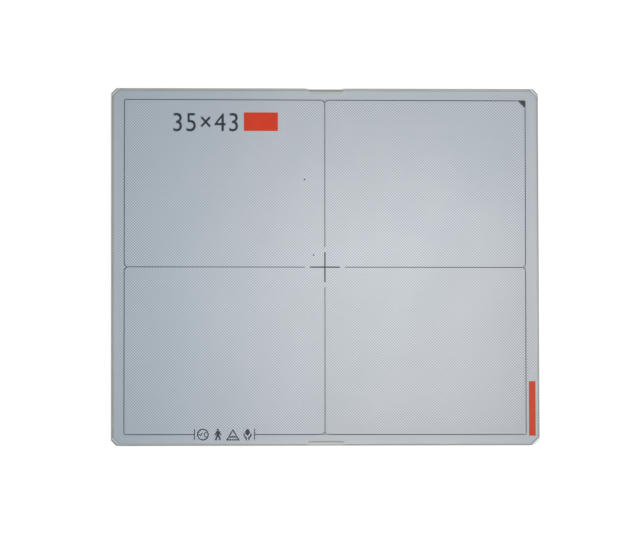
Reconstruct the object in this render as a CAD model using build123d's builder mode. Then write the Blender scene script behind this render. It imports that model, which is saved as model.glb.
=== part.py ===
# Flat panel x-ray detector for a 35 by 43 cm field, lying on its back with the imaging face up.
# X runs along the long side, Y along the short side and Z out of the imaging face.
# Lengths are in millimetres. The origin is under the middle of the flat rear face.
import os
from build123d import *

os.makedirs("parts", exist_ok=True)

# Outside of the housing
body_length = 460.0
body_width = 384.0
body_height = 15.0
corner_cut = 6.0
corner_round = 2.0
front_bevel = 1.5
split_height = 3.6
taper_in = 5.0
taper_height = 2.4
taper_corner_round = 1.0
half_length = body_length / 2
half_width = body_width / 2
root_two = 2 ** 0.5

# Scoops in the middle of the two long edges
notch_flat_half = 17.3
notch_outer_half = 20.6
notch_recess = 1.1
scoop_depth_inner = 5.8
scoop_floor = 13.2

# Imaging face
face_inset = 3.0
face_corner_land = 0.95
face_notch = 3.2
face_clearance = 0.05
film_thickness = 0.25
plate_thickness = 1.75
plate_inset = 0.1
film_bottom = body_height - film_thickness
plate_bottom = film_bottom - plate_thickness

# Side frame
wall = 3.0
cavity_corner_line = 20.0
ledge_width = 3.0
ledge_thickness = 1.8
ledge_bottom = plate_bottom - ledge_thickness
notch_ledge_half = 26.0
notch_ledge_width = 4.8

# Corner guards
guard_thickness = 2.75
guard_clearance = 0.05
tongue_neck = 4.0
tongue_neck_depth = 1.4
tongue_head = 7.0
tongue_head_depth = 1.6
tongue_top = plate_bottom - 1.0
guard_line = corner_cut + guard_thickness * root_two
face_corner_line = guard_line + face_corner_land * root_two

# Rear cover
floor_thickness = 1.8
rim_width = 12.0
lip_gap = 0.2
lip_width = 1.3
lip_height = 1.0
gasket_inset = 1.0
gasket_width = 1.0
gasket_from_guard = 1.0
gasket_corner_line = guard_line + gasket_from_guard
gasket_inner_line = gasket_corner_line + 1.6 * gasket_width
gasket_depth = 0.5

# Rear cover screws
rear_screw_inset = 8.2
rear_head_radius = 2.6
rear_head_height = 1.3
rear_head_sink = 0.3
rear_shank_radius = 1.25
rear_shank_top = 7.2
rear_bore_radius = 2.8
rear_hole_radius = 1.6
thread_clearance = 0.05
boss_width = 9.0
boss_reach = 12.0
boss_top = 8.0
shank_end_gap = 0.2
socket_flats = 2.0
socket_depth = 0.7

# Height of the battery bay, which sets how high the base plate lies
bay_roof_bottom = 6.9
bay_roof_thickness = 1.0
bay_roof_top = bay_roof_bottom + bay_roof_thickness
base_over_bay = 0.3

# Base plate and the sheets that it carries
sensor_margin = 11.0
plate_half_x = half_length - sensor_margin
plate_half_y = half_width - sensor_margin
base_bottom = bay_roof_top + base_over_bay
base_thickness = 2.0
base_top = base_bottom + base_thickness
base_corner_cut = 4.0
tab_width = 11.0
tab_reach = 6.0
tab_screw_reach = 3.6
lug_inset = 10.4
washer_height = 0.7
washer_radius = 3.0
washer_hole = 1.3
lug_bottom = base_top + washer_height
base_head_radius = 1.9
base_head_height = 1.3
base_shank_radius = 1.0
base_shank_top = 12.3
lead_thickness = 0.4
glass_thickness = 0.7
scintillator_thickness = 0.6
scintillator_margin = 4.0
glass_bottom = base_top + lead_thickness
glass_top = glass_bottom + glass_thickness
scintillator_top = glass_top + scintillator_thickness

# Film circuits between the glass and the boards
flex_thickness = 0.2
flex_width = 34.0
flex_bond = 3.4
flex_turn = 2.5
flex_bend = 1.0
readout_reach = 16.0
gate_reach = 10.0
readout_count = 8
gate_count = 5
readout_end_margin = 11.0
gate_end_margin = 31.0
readout_pitch = 2 * (plate_half_x - readout_end_margin) / readout_count
gate_pitch = 2 * (plate_half_y - gate_end_margin) / gate_count
readout_flex_x = [(k - (readout_count - 1) / 2) * readout_pitch for k in range(readout_count)]
gate_flex_y = [(k - (gate_count - 1) / 2) * gate_pitch for k in range(gate_count)]
chip_length = 20.0
chip_width = 3.0
chip_height = 0.6
readout_chip_back = 6.0
gate_chip_back = 4.0

# Screws and lugs along the walls stand between the film circuits, so they share their pitch
rear_screw_long = [k * readout_pitch for k in (-4, -2, 2, 4)]
rear_screw_left = [k * gate_pitch / 2 for k in (-1, 1)]
tab_long = [k * readout_pitch for k in (-3, -1, 1, 3)]
tab_short = [k * gate_pitch / 2 for k in (-3, 3)]

# Circuit boards under the base plate
board_thickness = 1.2
post_height = 1.6
board_top = base_bottom - post_height
board_bottom = board_top - board_thickness
board_corner = 6.0
bay_half_x = 102.2
bay_half_y = 51.4
bay_wall = 1.4
board_bay_gap = 6.4
readout_edge_gap = 5.0
readout_width = 46.0
readout_side_gap = 14.0
readout_middle_gap = 6.0
gate_edge_gap = 6.0
gate_width = 24.0
gate_top_gap = 31.0
power_gate_gap = 9.0
power_readout_gap = 70.0
power_length = 170.0
main_side_gap = 13.0
main_readout_gap = 10.0
main_radio_gap = 12.0
radio_side_gap = 19.0
radio_top_gap = 21.0
radio_length = 50.0
radio_width = 48.0

# Edges of each board: left, right, lower and upper
readout_low = -plate_half_y + readout_edge_gap
readout_high = readout_low + readout_width
readout_far = plate_half_x - readout_side_gap
readout_left_edges = (-readout_far, -readout_middle_gap, readout_low, readout_high)
readout_right_edges = (readout_middle_gap, readout_far, readout_low, readout_high)
gate_left = -plate_half_x + gate_edge_gap
gate_right = gate_left + gate_width
gate_edges = (gate_left, gate_right, readout_high + board_corner, plate_half_y - gate_top_gap)
board_start = bay_half_x + bay_wall + board_bay_gap
power_low = readout_high + power_readout_gap
power_edges = (gate_right + power_gate_gap, -board_start, power_low, power_low + power_length)
radio_right = plate_half_x - radio_side_gap
radio_high = plate_half_y - radio_top_gap
radio_edges = (radio_right - radio_length, radio_right, radio_high - radio_width, radio_high)
main_low = readout_high + main_readout_gap
main_high = radio_edges[2] - main_radio_gap
main_edges = (board_start, plate_half_x - main_side_gap, main_low, main_high)

# Film circuits end on the boards
readout_flex_end = readout_low + readout_reach
gate_flex_end = gate_left + gate_reach

# Small screws that hold the boards
screw_edge_gap = 8.0
screw_far_gap = 15.0
screw_near_gap = 14.0
screw_high_y = readout_high - board_corner
screw_flex_y = readout_low + screw_edge_gap
screw_flex_x = 2 * readout_pitch
screw_far_x = readout_far - screw_far_gap
screw_near_x = readout_middle_gap + screw_near_gap
readout_left_screws = [(-screw_far_x, screw_high_y), (-screw_near_x, screw_high_y), (-screw_flex_x, screw_flex_y)]
readout_right_screws = [(screw_near_x, screw_high_y), (screw_far_x, screw_high_y), (screw_flex_x, screw_flex_y)]


def corner_screws(edges, corners):
    """Screw places near the given corners of a board, each as -1 or 1 for X and Y."""
    places = []
    for side_x, side_y in corners:
        x = edges[1] - board_corner if side_x > 0 else edges[0] + board_corner
        y = edges[3] - board_corner if side_y > 0 else edges[2] + board_corner
        places.append((x, y))
    return places


gate_screws = corner_screws(gate_edges, ((1, -1), (1, 1)))
power_screws = corner_screws(power_edges, ((-1, -1), (1, 1)))
main_screws = corner_screws(main_edges, ((-1, -1), (1, -1), (-1, 1), (1, 1)))
radio_screws = corner_screws(radio_edges, ((-1, -1), (1, 1)))
board_hole_radius = 1.1
standoff_radius = 2.6
board_head_radius = 1.8
board_head_height = 1.0
board_shank_radius = 0.9
board_shank_top = 7.8
standoff_hole_top = 8.0

# Battery
battery_gap = 0.4
battery_half_x = bay_half_x - battery_gap
battery_half_y = bay_half_y - battery_gap
battery_bottom = 0.15
battery_top = bay_roof_bottom - 0.3
battery_wall = 1.2
battery_floor = 1.0
lid_thickness = 0.8
pull_length = 34.0
pull_width = 5.5
pull_depth = 2.4
pull_skin = 1.2
cell_end_gap = 4.6
cell_gap = 3.0
cell_pull_gap = 2.3
cell_height = 4.2
cell_radius = 3.0
cell_length = (2 * (battery_half_x - battery_wall - cell_end_gap) - 2 * cell_gap) / 3
cell_width = 2 * (battery_half_y - pull_width - pull_skin - cell_pull_gap)
cell_pitch = cell_length + cell_gap
battery_travel = 12.0
pad_x = (-17.5, -12.5, -7.5, -2.5, 2.5, 7.5, 12.5, 17.5)
pad_edge = 5.0
pad_y = battery_half_y - pad_edge
pad_size = 3.2
pad_length = 4.4
pin_size = 1.2
pin_length = 2.4

# Battery latches
latch_travel = 4.0
latch_slope = latch_travel / battery_travel
latch_tip_z = 1.0
latch_top = 3.4
latch_tip_x = battery_half_x - (latch_top - latch_tip_z) * latch_slope
latch_gap = 0.08
latch_nose_half = 8.0
latch_slot_half = 8.4
latch_front_x = bay_half_x + 0.4
latch_nose_back = latch_front_x + 3.4
latch_length = 21.4
latch_back_x = latch_front_x + latch_length
latch_pad_half = 11.9
latch_pad_bottom = 0.5
latch_wing_half = 14.0
latch_floor_gap = 0.05
latch_wing_bottom = floor_thickness + latch_floor_gap
latch_side_clearance = 0.08
latch_end_gap = 1.0
latch_end_x = latch_back_x + latch_travel + latch_end_gap
latch_roof_bottom = latch_top + latch_floor_gap
latch_roof_top = latch_roof_bottom + 0.95
latch_wall = 1.4
rib_count = 5
rib_pitch = 2.6
rib_width = 1.1
rib_height = 0.3
rib_half = 8.5

# Controls on the right-hand side
wall_inner_x = half_length - wall
control_z = 7.9
button_from_corner = 55.0
button_y = -half_width + button_from_corner
button_length = 14.0
button_height = 5.2
button_clearance = 0.08
button_sink = 0.4
button_face_x = half_length - button_sink
button_flange = 0.8
button_flange_margin = 1.1
button_flange_lip = 0.65
button_travel = 0.6
button_back_x = wall_inner_x - button_flange
plunger_length = 1.8
plunger_end_x = button_back_x - plunger_length
switch_face_x = button_back_x - button_travel - 0.3
switch_size = 6.0
plunger_radius = 1.2
plunger_clearance = 0.08
switch_bore_x = plunger_end_x - button_travel - 0.1
window_from_corner = 32.0
window_y = -half_width + window_from_corner
window_length = 16.0
window_height = 3.0
window_flange = 1.0
lamp_size = 1.6
lamp_height = 1.5
control_board_gap = 3.5
control_board_front = wall_inner_x - control_board_gap
control_board_thickness = 1.2
control_board_length = 50.0
control_board_from_corner = 20.0
control_board_low = -half_width + control_board_from_corner
control_board_high = control_board_low + control_board_length
control_board_bottom = 4.8
control_board_top = 10.4
control_rib_width = 2.0

# Tether socket on the right-hand side
socket_y = -10.0
socket_length = 27.0
socket_height = 6.0
socket_z = 8.0
socket_shell = 0.6
socket_sink = 0.2
socket_well = 5.3
socket_floor = 3.0
socket_face_x = half_length - socket_sink
socket_floor_x = socket_face_x - socket_well
socket_back_x = socket_floor_x - socket_floor
socket_lip = 2.0
socket_clearance = 0.05
contact_count = 10
contact_pitch = 2.1
contact_width = 0.9
contact_height = 2.2
contact_reach = 1.0

# One rear screw stands beside the socket, the other as far up as on the left
socket_screw_gap = 40.0
rear_screw_right = [socket_y - socket_screw_gap, rear_screw_left[1]]

# Radio windows, clear of the lugs and bosses in the same walls
side_window_length = 40.0
side_window_gap = 4.5
side_window_y = tab_short[1] + tab_width / 2 + side_window_gap + side_window_length / 2
top_window_gap = 9.0
top_window_x = (rear_screw_long[2] + tab_long[3]) / 2
top_window_length = readout_pitch - 2 * top_window_gap
radio_window_height = 5.0
radio_window_z = 7.9
radio_window_flush = 0.1
radio_flange = 0.8
radio_flange_margin = 0.7
antenna_thickness = 0.8


def outline(inset, corner_line, notch):
    """Corner points of the outline, moved in by inset, with a notch in both long edges."""
    x = half_length - inset
    y = half_width - inset
    cut = corner_line - 2 * inset
    low = y - notch
    inner = notch_flat_half
    outer = notch_outer_half
    return [
        (-x, -y + cut), (-x + cut, -y), (-outer, -y), (-inner, -low), (inner, -low), (outer, -y),
        (x - cut, -y), (x, -y + cut), (x, y - cut), (x - cut, y), (outer, y), (inner, low),
        (-inner, low), (-outer, y), (-x + cut, y), (-x, y - cut),
    ]


def octagon(inset, corner_line):
    """Corner points of the outline without the notches."""
    x = half_length - inset
    y = half_width - inset
    cut = corner_line - 2 * inset
    return [
        (-x, -y + cut), (-x + cut, -y), (x - cut, -y), (x, -y + cut),
        (x, y - cut), (x - cut, y), (-x + cut, y), (-x, y - cut),
    ]


def far_corners(vertices):
    """The vertices at the four corners of the outline."""
    return [v for v in vertices if abs(v.X) > half_length / 2]


def board_center(edges):
    """Middle of a board, given its four edges."""
    return ((edges[0] + edges[1]) / 2, (edges[2] + edges[3]) / 2)


# Places of the screws that hold the rear cover
rear_screw_y = half_width - rear_screw_inset
rear_screw_x = half_length - rear_screw_inset
rear_screws_at = [(x, side * rear_screw_y) for side in (-1, 1) for x in rear_screw_long]
rear_screws_at += [(-rear_screw_x, y) for y in rear_screw_left]
rear_screws_at += [(rear_screw_x, y) for y in rear_screw_right]

# Bosses behind the walls that those screws run into
boss_depth = boss_reach - wall
boss_middle = wall + boss_depth / 2
bosses_long = [(x, side * (half_width - boss_middle)) for side in (-1, 1) for x in rear_screw_long]
bosses_short = [(-half_length + boss_middle, y) for y in rear_screw_left]
bosses_short += [(half_length - boss_middle, y) for y in rear_screw_right]

# Places of the screws that hold the base plate
tab_screw_y = plate_half_y + tab_screw_reach
tab_screw_x = plate_half_x + tab_screw_reach
tab_screws_at = [(x, side * tab_screw_y) for side in (-1, 1) for x in tab_long]
tab_screws_at += [(side * tab_screw_x, y) for side in (-1, 1) for y in tab_short]

# Lugs over those screws, as the middle of each block
lug_depth = lug_inset - wall
lug_middle = wall + lug_depth / 2
lugs_long = [(x, side * (half_width - lug_middle)) for side in (-1, 1) for x in tab_long]
lugs_short = [(side * (half_length - lug_middle), y) for side in (-1, 1) for y in tab_short]
tabs_long = [(x, side * (plate_half_y + tab_reach / 2)) for side in (-1, 1) for x in tab_long]
tabs_short = [(side * (plate_half_x + tab_reach / 2), y) for side in (-1, 1) for y in tab_short]

# Places of the small screws in the boards
board_screws_at = readout_left_screws + readout_right_screws + gate_screws
board_screws_at += power_screws + main_screws + radio_screws

# Corner geometry: the guards lie along the four 45 degree corners
guard_inner_x = half_length - guard_line / 2
guard_inner_y = half_width - guard_line / 2
guard_corners = [
    ("corner_guard_right_top", 1, 1, 45.0),
    ("corner_guard_left_top", -1, 1, 135.0),
    ("corner_guard_left_bottom", -1, -1, 225.0),
    ("corner_guard_right_bottom", 1, -1, 315.0),
]
tongue_height = tongue_top - split_height
tongue_middle = (tongue_top + split_height) / 2
neck_shift = tongue_neck_depth / 2 / root_two
head_shift = (tongue_neck_depth + tongue_head_depth / 2) / root_two


def guard_region(sign_x, sign_y, extra):
    """Triangle that holds one corner guard in plan, grown inwards by extra."""
    reach = guard_line + extra * root_two
    far = 4.0
    x = sign_x * (half_length + far)
    y = sign_y * (half_width + far)
    x_in = sign_x * (half_length - reach - far)
    y_in = sign_y * (half_width - reach - far)
    return [(x, y), (x, y_in), (x_in, y)]


# Side frame, a one-piece casting round the whole detector
with BuildPart() as side_frame:
    with BuildSketch(Plane.XY.offset(split_height)) as frame_outline:
        Polygon(*outline(0, corner_cut, notch_recess))
        fillet(far_corners(frame_outline.vertices()), corner_round)
    extrude(amount=body_height - split_height)
    chamfer(side_frame.faces().sort_by(Axis.Z)[-1].outer_wire().edges(), front_bevel)
    # Seat of the imaging face
    with BuildSketch(Plane.XY.offset(plate_bottom)):
        Polygon(*outline(face_inset - face_clearance, face_corner_line - face_clearance, face_notch))
    extrude(amount=body_height - plate_bottom + 1, mode=Mode.SUBTRACT)
    # Sloped scoops in the middle of the long edges
    for side in (-1, 1):
        low_y = half_width - notch_recess + 0.2
        high_y = half_width - scoop_depth_inner
        far_y = half_width + 4
        with BuildSketch(Plane.XY.offset(scoop_floor)):
            with Locations((0, side * (low_y + far_y) / 2)):
                Rectangle(2 * notch_flat_half, far_y - low_y)
        with BuildSketch(Plane.XY.offset(body_height + 0.1)):
            with Locations((0, side * (high_y + far_y) / 2)):
                Rectangle(2 * notch_outer_half, far_y - high_y)
        loft(mode=Mode.SUBTRACT)
    # Space inside, and the ledge that carries the imaging face
    with BuildSketch(Plane.XY.offset(split_height)):
        Polygon(*octagon(wall, cavity_corner_line))
    extrude(amount=ledge_bottom - split_height, mode=Mode.SUBTRACT)
    with BuildSketch(Plane.XY.offset(ledge_bottom)):
        Polygon(*octagon(wall + ledge_width, cavity_corner_line))
    extrude(amount=plate_bottom - ledge_bottom + 0.01, mode=Mode.SUBTRACT)
    ledge_middle = half_width - wall - notch_ledge_width / 2
    with Locations((0, ledge_middle, (ledge_bottom + plate_bottom) / 2)):
        Box(2 * notch_ledge_half, notch_ledge_width, plate_bottom - ledge_bottom)
    with Locations((0, -ledge_middle, (ledge_bottom + plate_bottom) / 2)):
        Box(2 * notch_ledge_half, notch_ledge_width, plate_bottom - ledge_bottom)
    # Lugs for the base plate
    lug_height = plate_bottom - lug_bottom
    with Locations(*[(x, y, lug_bottom + lug_height / 2) for x, y in lugs_long]):
        Box(tab_width, lug_depth, lug_height)
    with Locations(*[(x, y, lug_bottom + lug_height / 2) for x, y in lugs_short]):
        Box(lug_depth, tab_width, lug_height)
    # Bosses for the rear cover
    boss_height = boss_top - split_height
    with Locations(*[(x, y, split_height + boss_height / 2) for x, y in bosses_long]):
        Box(boss_width, boss_depth, boss_height)
    with Locations(*[(x, y, split_height + boss_height / 2) for x, y in bosses_short]):
        Box(boss_depth, boss_width, boss_height)
    # Ribs that hold the control board
    rib_depth = half_length - wall - control_board_front
    rib_z = (control_board_bottom + control_board_top) / 2
    rib_low = control_board_low + control_rib_width / 2
    rib_high = control_board_high - control_rib_width / 2
    with Locations(*[(control_board_front + rib_depth / 2, y, rib_z) for y in (rib_low, rib_high)]):
        Box(rib_depth, control_rib_width, control_board_top - control_board_bottom)
    # Threaded holes
    with BuildSketch(Plane.XY.offset(split_height)):
        with Locations(*rear_screws_at):
            Circle(rear_shank_radius + thread_clearance)
    extrude(amount=rear_shank_top + shank_end_gap - split_height, mode=Mode.SUBTRACT)
    with BuildSketch(Plane.XY.offset(lug_bottom)):
        with Locations(*tab_screws_at):
            Circle(base_shank_radius + thread_clearance)
    extrude(amount=base_shank_top + shank_end_gap - lug_bottom, mode=Mode.SUBTRACT)
    # Seats of the corner guards, open to the rear
    for guard_name, sign_x, sign_y, angle in guard_corners:
        with BuildSketch(Plane.XY.offset(split_height)):
            Polygon(*guard_region(sign_x, sign_y, 0))
        extrude(amount=body_height, mode=Mode.SUBTRACT)
        neck_x = sign_x * (guard_inner_x - neck_shift)
        neck_y = sign_y * (guard_inner_y - neck_shift)
        head_x = sign_x * (guard_inner_x - head_shift)
        head_y = sign_y * (guard_inner_y - head_shift)
        with Locations(Location((neck_x, neck_y, tongue_middle), (0, 0, angle))):
            Box(tongue_neck_depth + 0.02, tongue_neck, tongue_height, mode=Mode.SUBTRACT)
        with Locations(Location((head_x, head_y, tongue_middle), (0, 0, angle))):
            Box(tongue_head_depth, tongue_head, tongue_height, mode=Mode.SUBTRACT)
    # Openings in the right-hand wall
    with BuildSketch(Plane.YZ.offset(half_length - wall - 1)):
        with Locations((button_y, control_z)):
            SlotOverall(button_length + 2 * button_clearance, button_height + 2 * button_clearance)
        with Locations((window_y, control_z)):
            SlotOverall(window_length, window_height)
        with Locations((socket_y, socket_z)):
            Rectangle(socket_length + 2 * socket_clearance, socket_height + 2 * socket_clearance)
        with Locations((side_window_y, radio_window_z)):
            Rectangle(side_window_length, radio_window_height)
    extrude(amount=wall + 2, mode=Mode.SUBTRACT)
    # Opening in the upper wall
    with BuildSketch(Plane.XZ.offset(-half_width - 1)):
        with Locations((top_window_x, radio_window_z)):
            Rectangle(top_window_length, radio_window_height)
    extrude(amount=wall + 2, mode=Mode.SUBTRACT)
side_frame.part.label = "side_frame"
export_step(side_frame.part, "parts/side_frame.step")

# Corner guards, tough plastic slid into the frame from the rear
for guard_name, sign_x, sign_y, angle in guard_corners:
    with BuildPart() as corner_guard:
        with BuildSketch(Plane.XY.offset(split_height)) as guard_outline:
            Polygon(*outline(0, corner_cut, notch_recess))
            fillet(far_corners(guard_outline.vertices()), corner_round)
        extrude(amount=body_height - split_height)
        chamfer(corner_guard.faces().sort_by(Axis.Z)[-1].outer_wire().edges(), front_bevel)
        with BuildSketch(Plane.XY.offset(split_height)):
            Polygon(*guard_region(sign_x, sign_y, -guard_clearance))
        extrude(amount=body_height, mode=Mode.INTERSECT)
        neck_x = sign_x * (guard_inner_x - neck_shift)
        neck_y = sign_y * (guard_inner_y - neck_shift)
        head_x = sign_x * (guard_inner_x - head_shift)
        head_y = sign_y * (guard_inner_y - head_shift)
        tongue_fit = 2 * guard_clearance
        with Locations(Location((neck_x, neck_y, tongue_middle), (0, 0, angle))):
            Box(tongue_neck_depth + 4 * guard_clearance, tongue_neck - tongue_fit, tongue_height)
        with Locations(Location((head_x, head_y, tongue_middle), (0, 0, angle))):
            Box(tongue_head_depth - tongue_fit, tongue_head - tongue_fit, tongue_height)
    corner_guard.part.label = guard_name
    export_step(corner_guard.part, f"parts/{guard_name}.step")

# Printed film over the whole imaging face
with BuildPart() as front_film:
    with BuildSketch(Plane.XY.offset(film_bottom)):
        Polygon(*outline(face_inset, face_corner_line, face_notch))
    extrude(amount=film_thickness)
front_film.part.label = "front_film"
export_step(front_film.part, "parts/front_film.step")

# Stiff carbon fibre plate under the film
with BuildPart() as front_plate:
    with BuildSketch(Plane.XY.offset(plate_bottom)):
        Polygon(*outline(face_inset + plate_inset, face_corner_line + 2 * plate_inset, face_notch))
    extrude(amount=plate_thickness)
front_plate.part.label = "front_plate"
export_step(front_plate.part, "parts/front_plate.step")

# Rear cover with its battery bay and the two latch pockets
bay_pocket_top = bay_roof_bottom
with BuildPart() as rear_cover:
    with BuildSketch(Plane.XY) as rear_face:
        Polygon(*octagon(taper_in, corner_cut + taper_in * root_two))
        fillet(far_corners(rear_face.vertices()), taper_corner_round)
    with BuildSketch(Plane.XY.offset(taper_height)) as taper_edge:
        Polygon(*octagon(0, corner_cut))
        fillet(far_corners(taper_edge.vertices()), corner_round)
    loft(ruled=True)
    with BuildSketch(Plane.XY.offset(taper_height)) as rim_outline:
        Polygon(*octagon(0, corner_cut))
        fillet(far_corners(rim_outline.vertices()), corner_round)
    extrude(amount=split_height - taper_height)
    # Space over the floor
    with BuildSketch(Plane.XY.offset(floor_thickness)):
        Polygon(*octagon(rim_width, cavity_corner_line + rim_width))
    extrude(amount=split_height, mode=Mode.SUBTRACT)
    # Locating lip inside the walls of the side frame
    lip_inset = wall + lip_gap
    with BuildSketch(Plane.XY.offset(split_height)):
        Polygon(*octagon(lip_inset, cavity_corner_line + lip_gap))
        Polygon(*octagon(lip_inset + lip_width, cavity_corner_line + lip_width), mode=Mode.SUBTRACT)
    extrude(amount=lip_height)
    lip_z = split_height + lip_height / 2
    with Locations(*[(x, y, lip_z) for x, y in bosses_long]):
        Box(boss_width + 1, boss_depth + 1, lip_height, mode=Mode.SUBTRACT)
    with Locations(*[(x, y, lip_z) for x, y in bosses_short]):
        Box(boss_depth + 1, boss_width + 1, lip_height, mode=Mode.SUBTRACT)
    # Battery bay walls and roof
    bay_height = bay_roof_top - floor_thickness
    with Locations((0, 0, floor_thickness + bay_height / 2)):
        Box(2 * (bay_half_x + bay_wall), 2 * (bay_half_y + bay_wall), bay_height)
    # Latch housings at both ends of the bay
    housing_start = bay_half_x
    housing_end = latch_end_x + latch_wall
    housing_half = latch_wing_half + latch_side_clearance + latch_wall
    housing_height = latch_roof_top - floor_thickness
    for side in (-1, 1):
        housing_middle = side * (housing_start + housing_end) / 2
        with Locations((housing_middle, 0, floor_thickness + housing_height / 2)):
            Box(housing_end - housing_start, 2 * housing_half, housing_height)
    # Battery bay pocket
    with Locations((0, 0, bay_pocket_top / 2)):
        Box(2 * bay_half_x, 2 * bay_half_y, bay_pocket_top, mode=Mode.SUBTRACT)
    # Latch pockets, wider over the floor so that the floor holds the latch
    for side in (-1, 1):
        pocket_middle = side * (bay_half_x + latch_end_x) / 2
        pocket_length = latch_end_x - bay_half_x + 0.02
        pad_pocket = 2 * (latch_pad_half + latch_side_clearance)
        wing_pocket = 2 * (latch_wing_half + latch_side_clearance)
        wing_height = latch_roof_bottom - floor_thickness
        with Locations((pocket_middle, 0, floor_thickness / 2)):
            Box(pocket_length, pad_pocket, floor_thickness + 0.02, mode=Mode.SUBTRACT)
        with Locations((pocket_middle, 0, floor_thickness + wing_height / 2)):
            Box(pocket_length, wing_pocket, wing_height, mode=Mode.SUBTRACT)
    # Window in the bay roof for the contacts
    block_half_x = pad_x[-1] + 3.5
    block_half_y = 4.0
    with Locations((0, pad_y, (bay_roof_bottom + bay_roof_top) / 2)):
        Box(2 * block_half_x, 2 * block_half_y, 2, mode=Mode.SUBTRACT)
    # Groove for the rear gasket
    with BuildSketch(Plane.XY.offset(split_height - gasket_depth)):
        Polygon(*octagon(gasket_inset + notch_recess, gasket_corner_line))
        Polygon(*octagon(gasket_inset + notch_recess + gasket_width, gasket_inner_line), mode=Mode.SUBTRACT)
    extrude(amount=gasket_depth, mode=Mode.SUBTRACT)
    # Screw holes
    with BuildSketch(Plane.XY):
        with Locations(*rear_screws_at):
            Circle(rear_hole_radius)
    extrude(amount=split_height, mode=Mode.SUBTRACT)
    with BuildSketch(Plane.XY):
        with Locations(*rear_screws_at):
            Circle(rear_bore_radius)
    extrude(amount=rear_head_sink + rear_head_height, mode=Mode.SUBTRACT)
rear_cover.part.label = "rear_cover"
export_step(rear_cover.part, "parts/rear_cover.step")

# Rear gasket in its groove, pressed flat by the side frame
with BuildPart() as rear_gasket:
    with BuildSketch(Plane.XY.offset(split_height - gasket_depth)):
        Polygon(*octagon(gasket_inset + notch_recess, gasket_corner_line))
        Polygon(*octagon(gasket_inset + notch_recess + gasket_width, gasket_inner_line), mode=Mode.SUBTRACT)
    extrude(amount=gasket_depth)
rear_gasket.part.label = "rear_gasket"
export_step(rear_gasket.part, "parts/rear_gasket.step")

# Rear cover screws with hexagon sockets
with BuildPart() as rear_screws:
    with BuildSketch(Plane.XY.offset(rear_head_sink)):
        with Locations(*rear_screws_at):
            Circle(rear_head_radius)
    extrude(amount=rear_head_height)
    with BuildSketch(Plane.XY.offset(rear_head_sink + rear_head_height)):
        with Locations(*rear_screws_at):
            Circle(rear_shank_radius)
    extrude(amount=rear_shank_top - rear_head_sink - rear_head_height)
    with BuildSketch(Plane.XY.offset(rear_head_sink)):
        with Locations(*rear_screws_at):
            RegularPolygon(socket_flats / 2, 6, major_radius=False)
    extrude(amount=socket_depth, mode=Mode.SUBTRACT)
rear_screws.part.label = "rear_screws"
export_step(rear_screws.part, "parts/rear_screws.step")

# Base plate with its tabs and the threaded posts for the boards
with BuildPart() as base_plate:
    with BuildSketch(Plane.XY.offset(base_bottom)) as base_outline:
        Rectangle(2 * plate_half_x, 2 * plate_half_y)
        chamfer(base_outline.vertices(), base_corner_cut)
    extrude(amount=base_thickness)
    with Locations(*[(x, y, base_bottom + base_thickness / 2) for x, y in tabs_long]):
        Box(tab_width, tab_reach, base_thickness)
    with Locations(*[(x, y, base_bottom + base_thickness / 2) for x, y in tabs_short]):
        Box(tab_reach, tab_width, base_thickness)
    with BuildSketch(Plane.XY.offset(board_top)):
        with Locations(*board_screws_at):
            RegularPolygon(standoff_radius, 6)
    extrude(amount=base_bottom - board_top)
    with BuildSketch(Plane.XY.offset(board_top)):
        with Locations(*board_screws_at):
            Circle(board_shank_radius + thread_clearance)
    extrude(amount=standoff_hole_top - board_top, mode=Mode.SUBTRACT)
    with BuildSketch(Plane.XY.offset(base_bottom)):
        with Locations(*tab_screws_at):
            Circle(washer_hole)
    extrude(amount=base_thickness, mode=Mode.SUBTRACT)
base_plate.part.label = "base_plate"
export_step(base_plate.part, "parts/base_plate.step")

# Rubber washers between the base plate and the lugs
with BuildPart() as isolation_washers:
    with BuildSketch(Plane.XY.offset(base_top)):
        with Locations(*tab_screws_at):
            Circle(washer_radius)
        with Locations(*tab_screws_at):
            Circle(washer_hole, mode=Mode.SUBTRACT)
    extrude(amount=washer_height)
isolation_washers.part.label = "isolation_washers"
export_step(isolation_washers.part, "parts/isolation_washers.step")

# Base plate screws
with BuildPart() as base_screws:
    with BuildSketch(Plane.XY.offset(base_bottom - base_head_height)):
        with Locations(*tab_screws_at):
            Circle(base_head_radius)
    extrude(amount=base_head_height)
    with BuildSketch(Plane.XY.offset(base_bottom)):
        with Locations(*tab_screws_at):
            Circle(base_shank_radius)
    extrude(amount=base_shank_top - base_bottom)
base_screws.part.label = "base_screws"
export_step(base_screws.part, "parts/base_screws.step")

# Lead sheet that keeps stray rays off the boards
with BuildPart() as lead_sheet:
    with BuildSketch(Plane.XY.offset(base_top)) as lead_outline:
        Rectangle(2 * plate_half_x, 2 * plate_half_y)
        chamfer(lead_outline.vertices(), base_corner_cut)
    extrude(amount=lead_thickness)
lead_sheet.part.label = "lead_sheet"
export_step(lead_sheet.part, "parts/lead_sheet.step")

# Sensor glass
with BuildPart() as sensor_glass:
    with BuildSketch(Plane.XY.offset(glass_bottom)) as glass_outline:
        Rectangle(2 * plate_half_x, 2 * plate_half_y)
        chamfer(glass_outline.vertices(), base_corner_cut)
    extrude(amount=glass_thickness)
sensor_glass.part.label = "sensor_glass"
export_step(sensor_glass.part, "parts/sensor_glass.step")

# Scintillator sheet on the glass
with BuildPart() as scintillator:
    with BuildSketch(Plane.XY.offset(glass_top)) as scintillator_outline:
        Rectangle(2 * (plate_half_x - scintillator_margin), 2 * (plate_half_y - scintillator_margin))
        chamfer(scintillator_outline.vertices(), base_corner_cut)
    extrude(amount=scintillator_thickness)
scintillator.part.label = "scintillator"
export_step(scintillator.part, "parts/scintillator.step")

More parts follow.
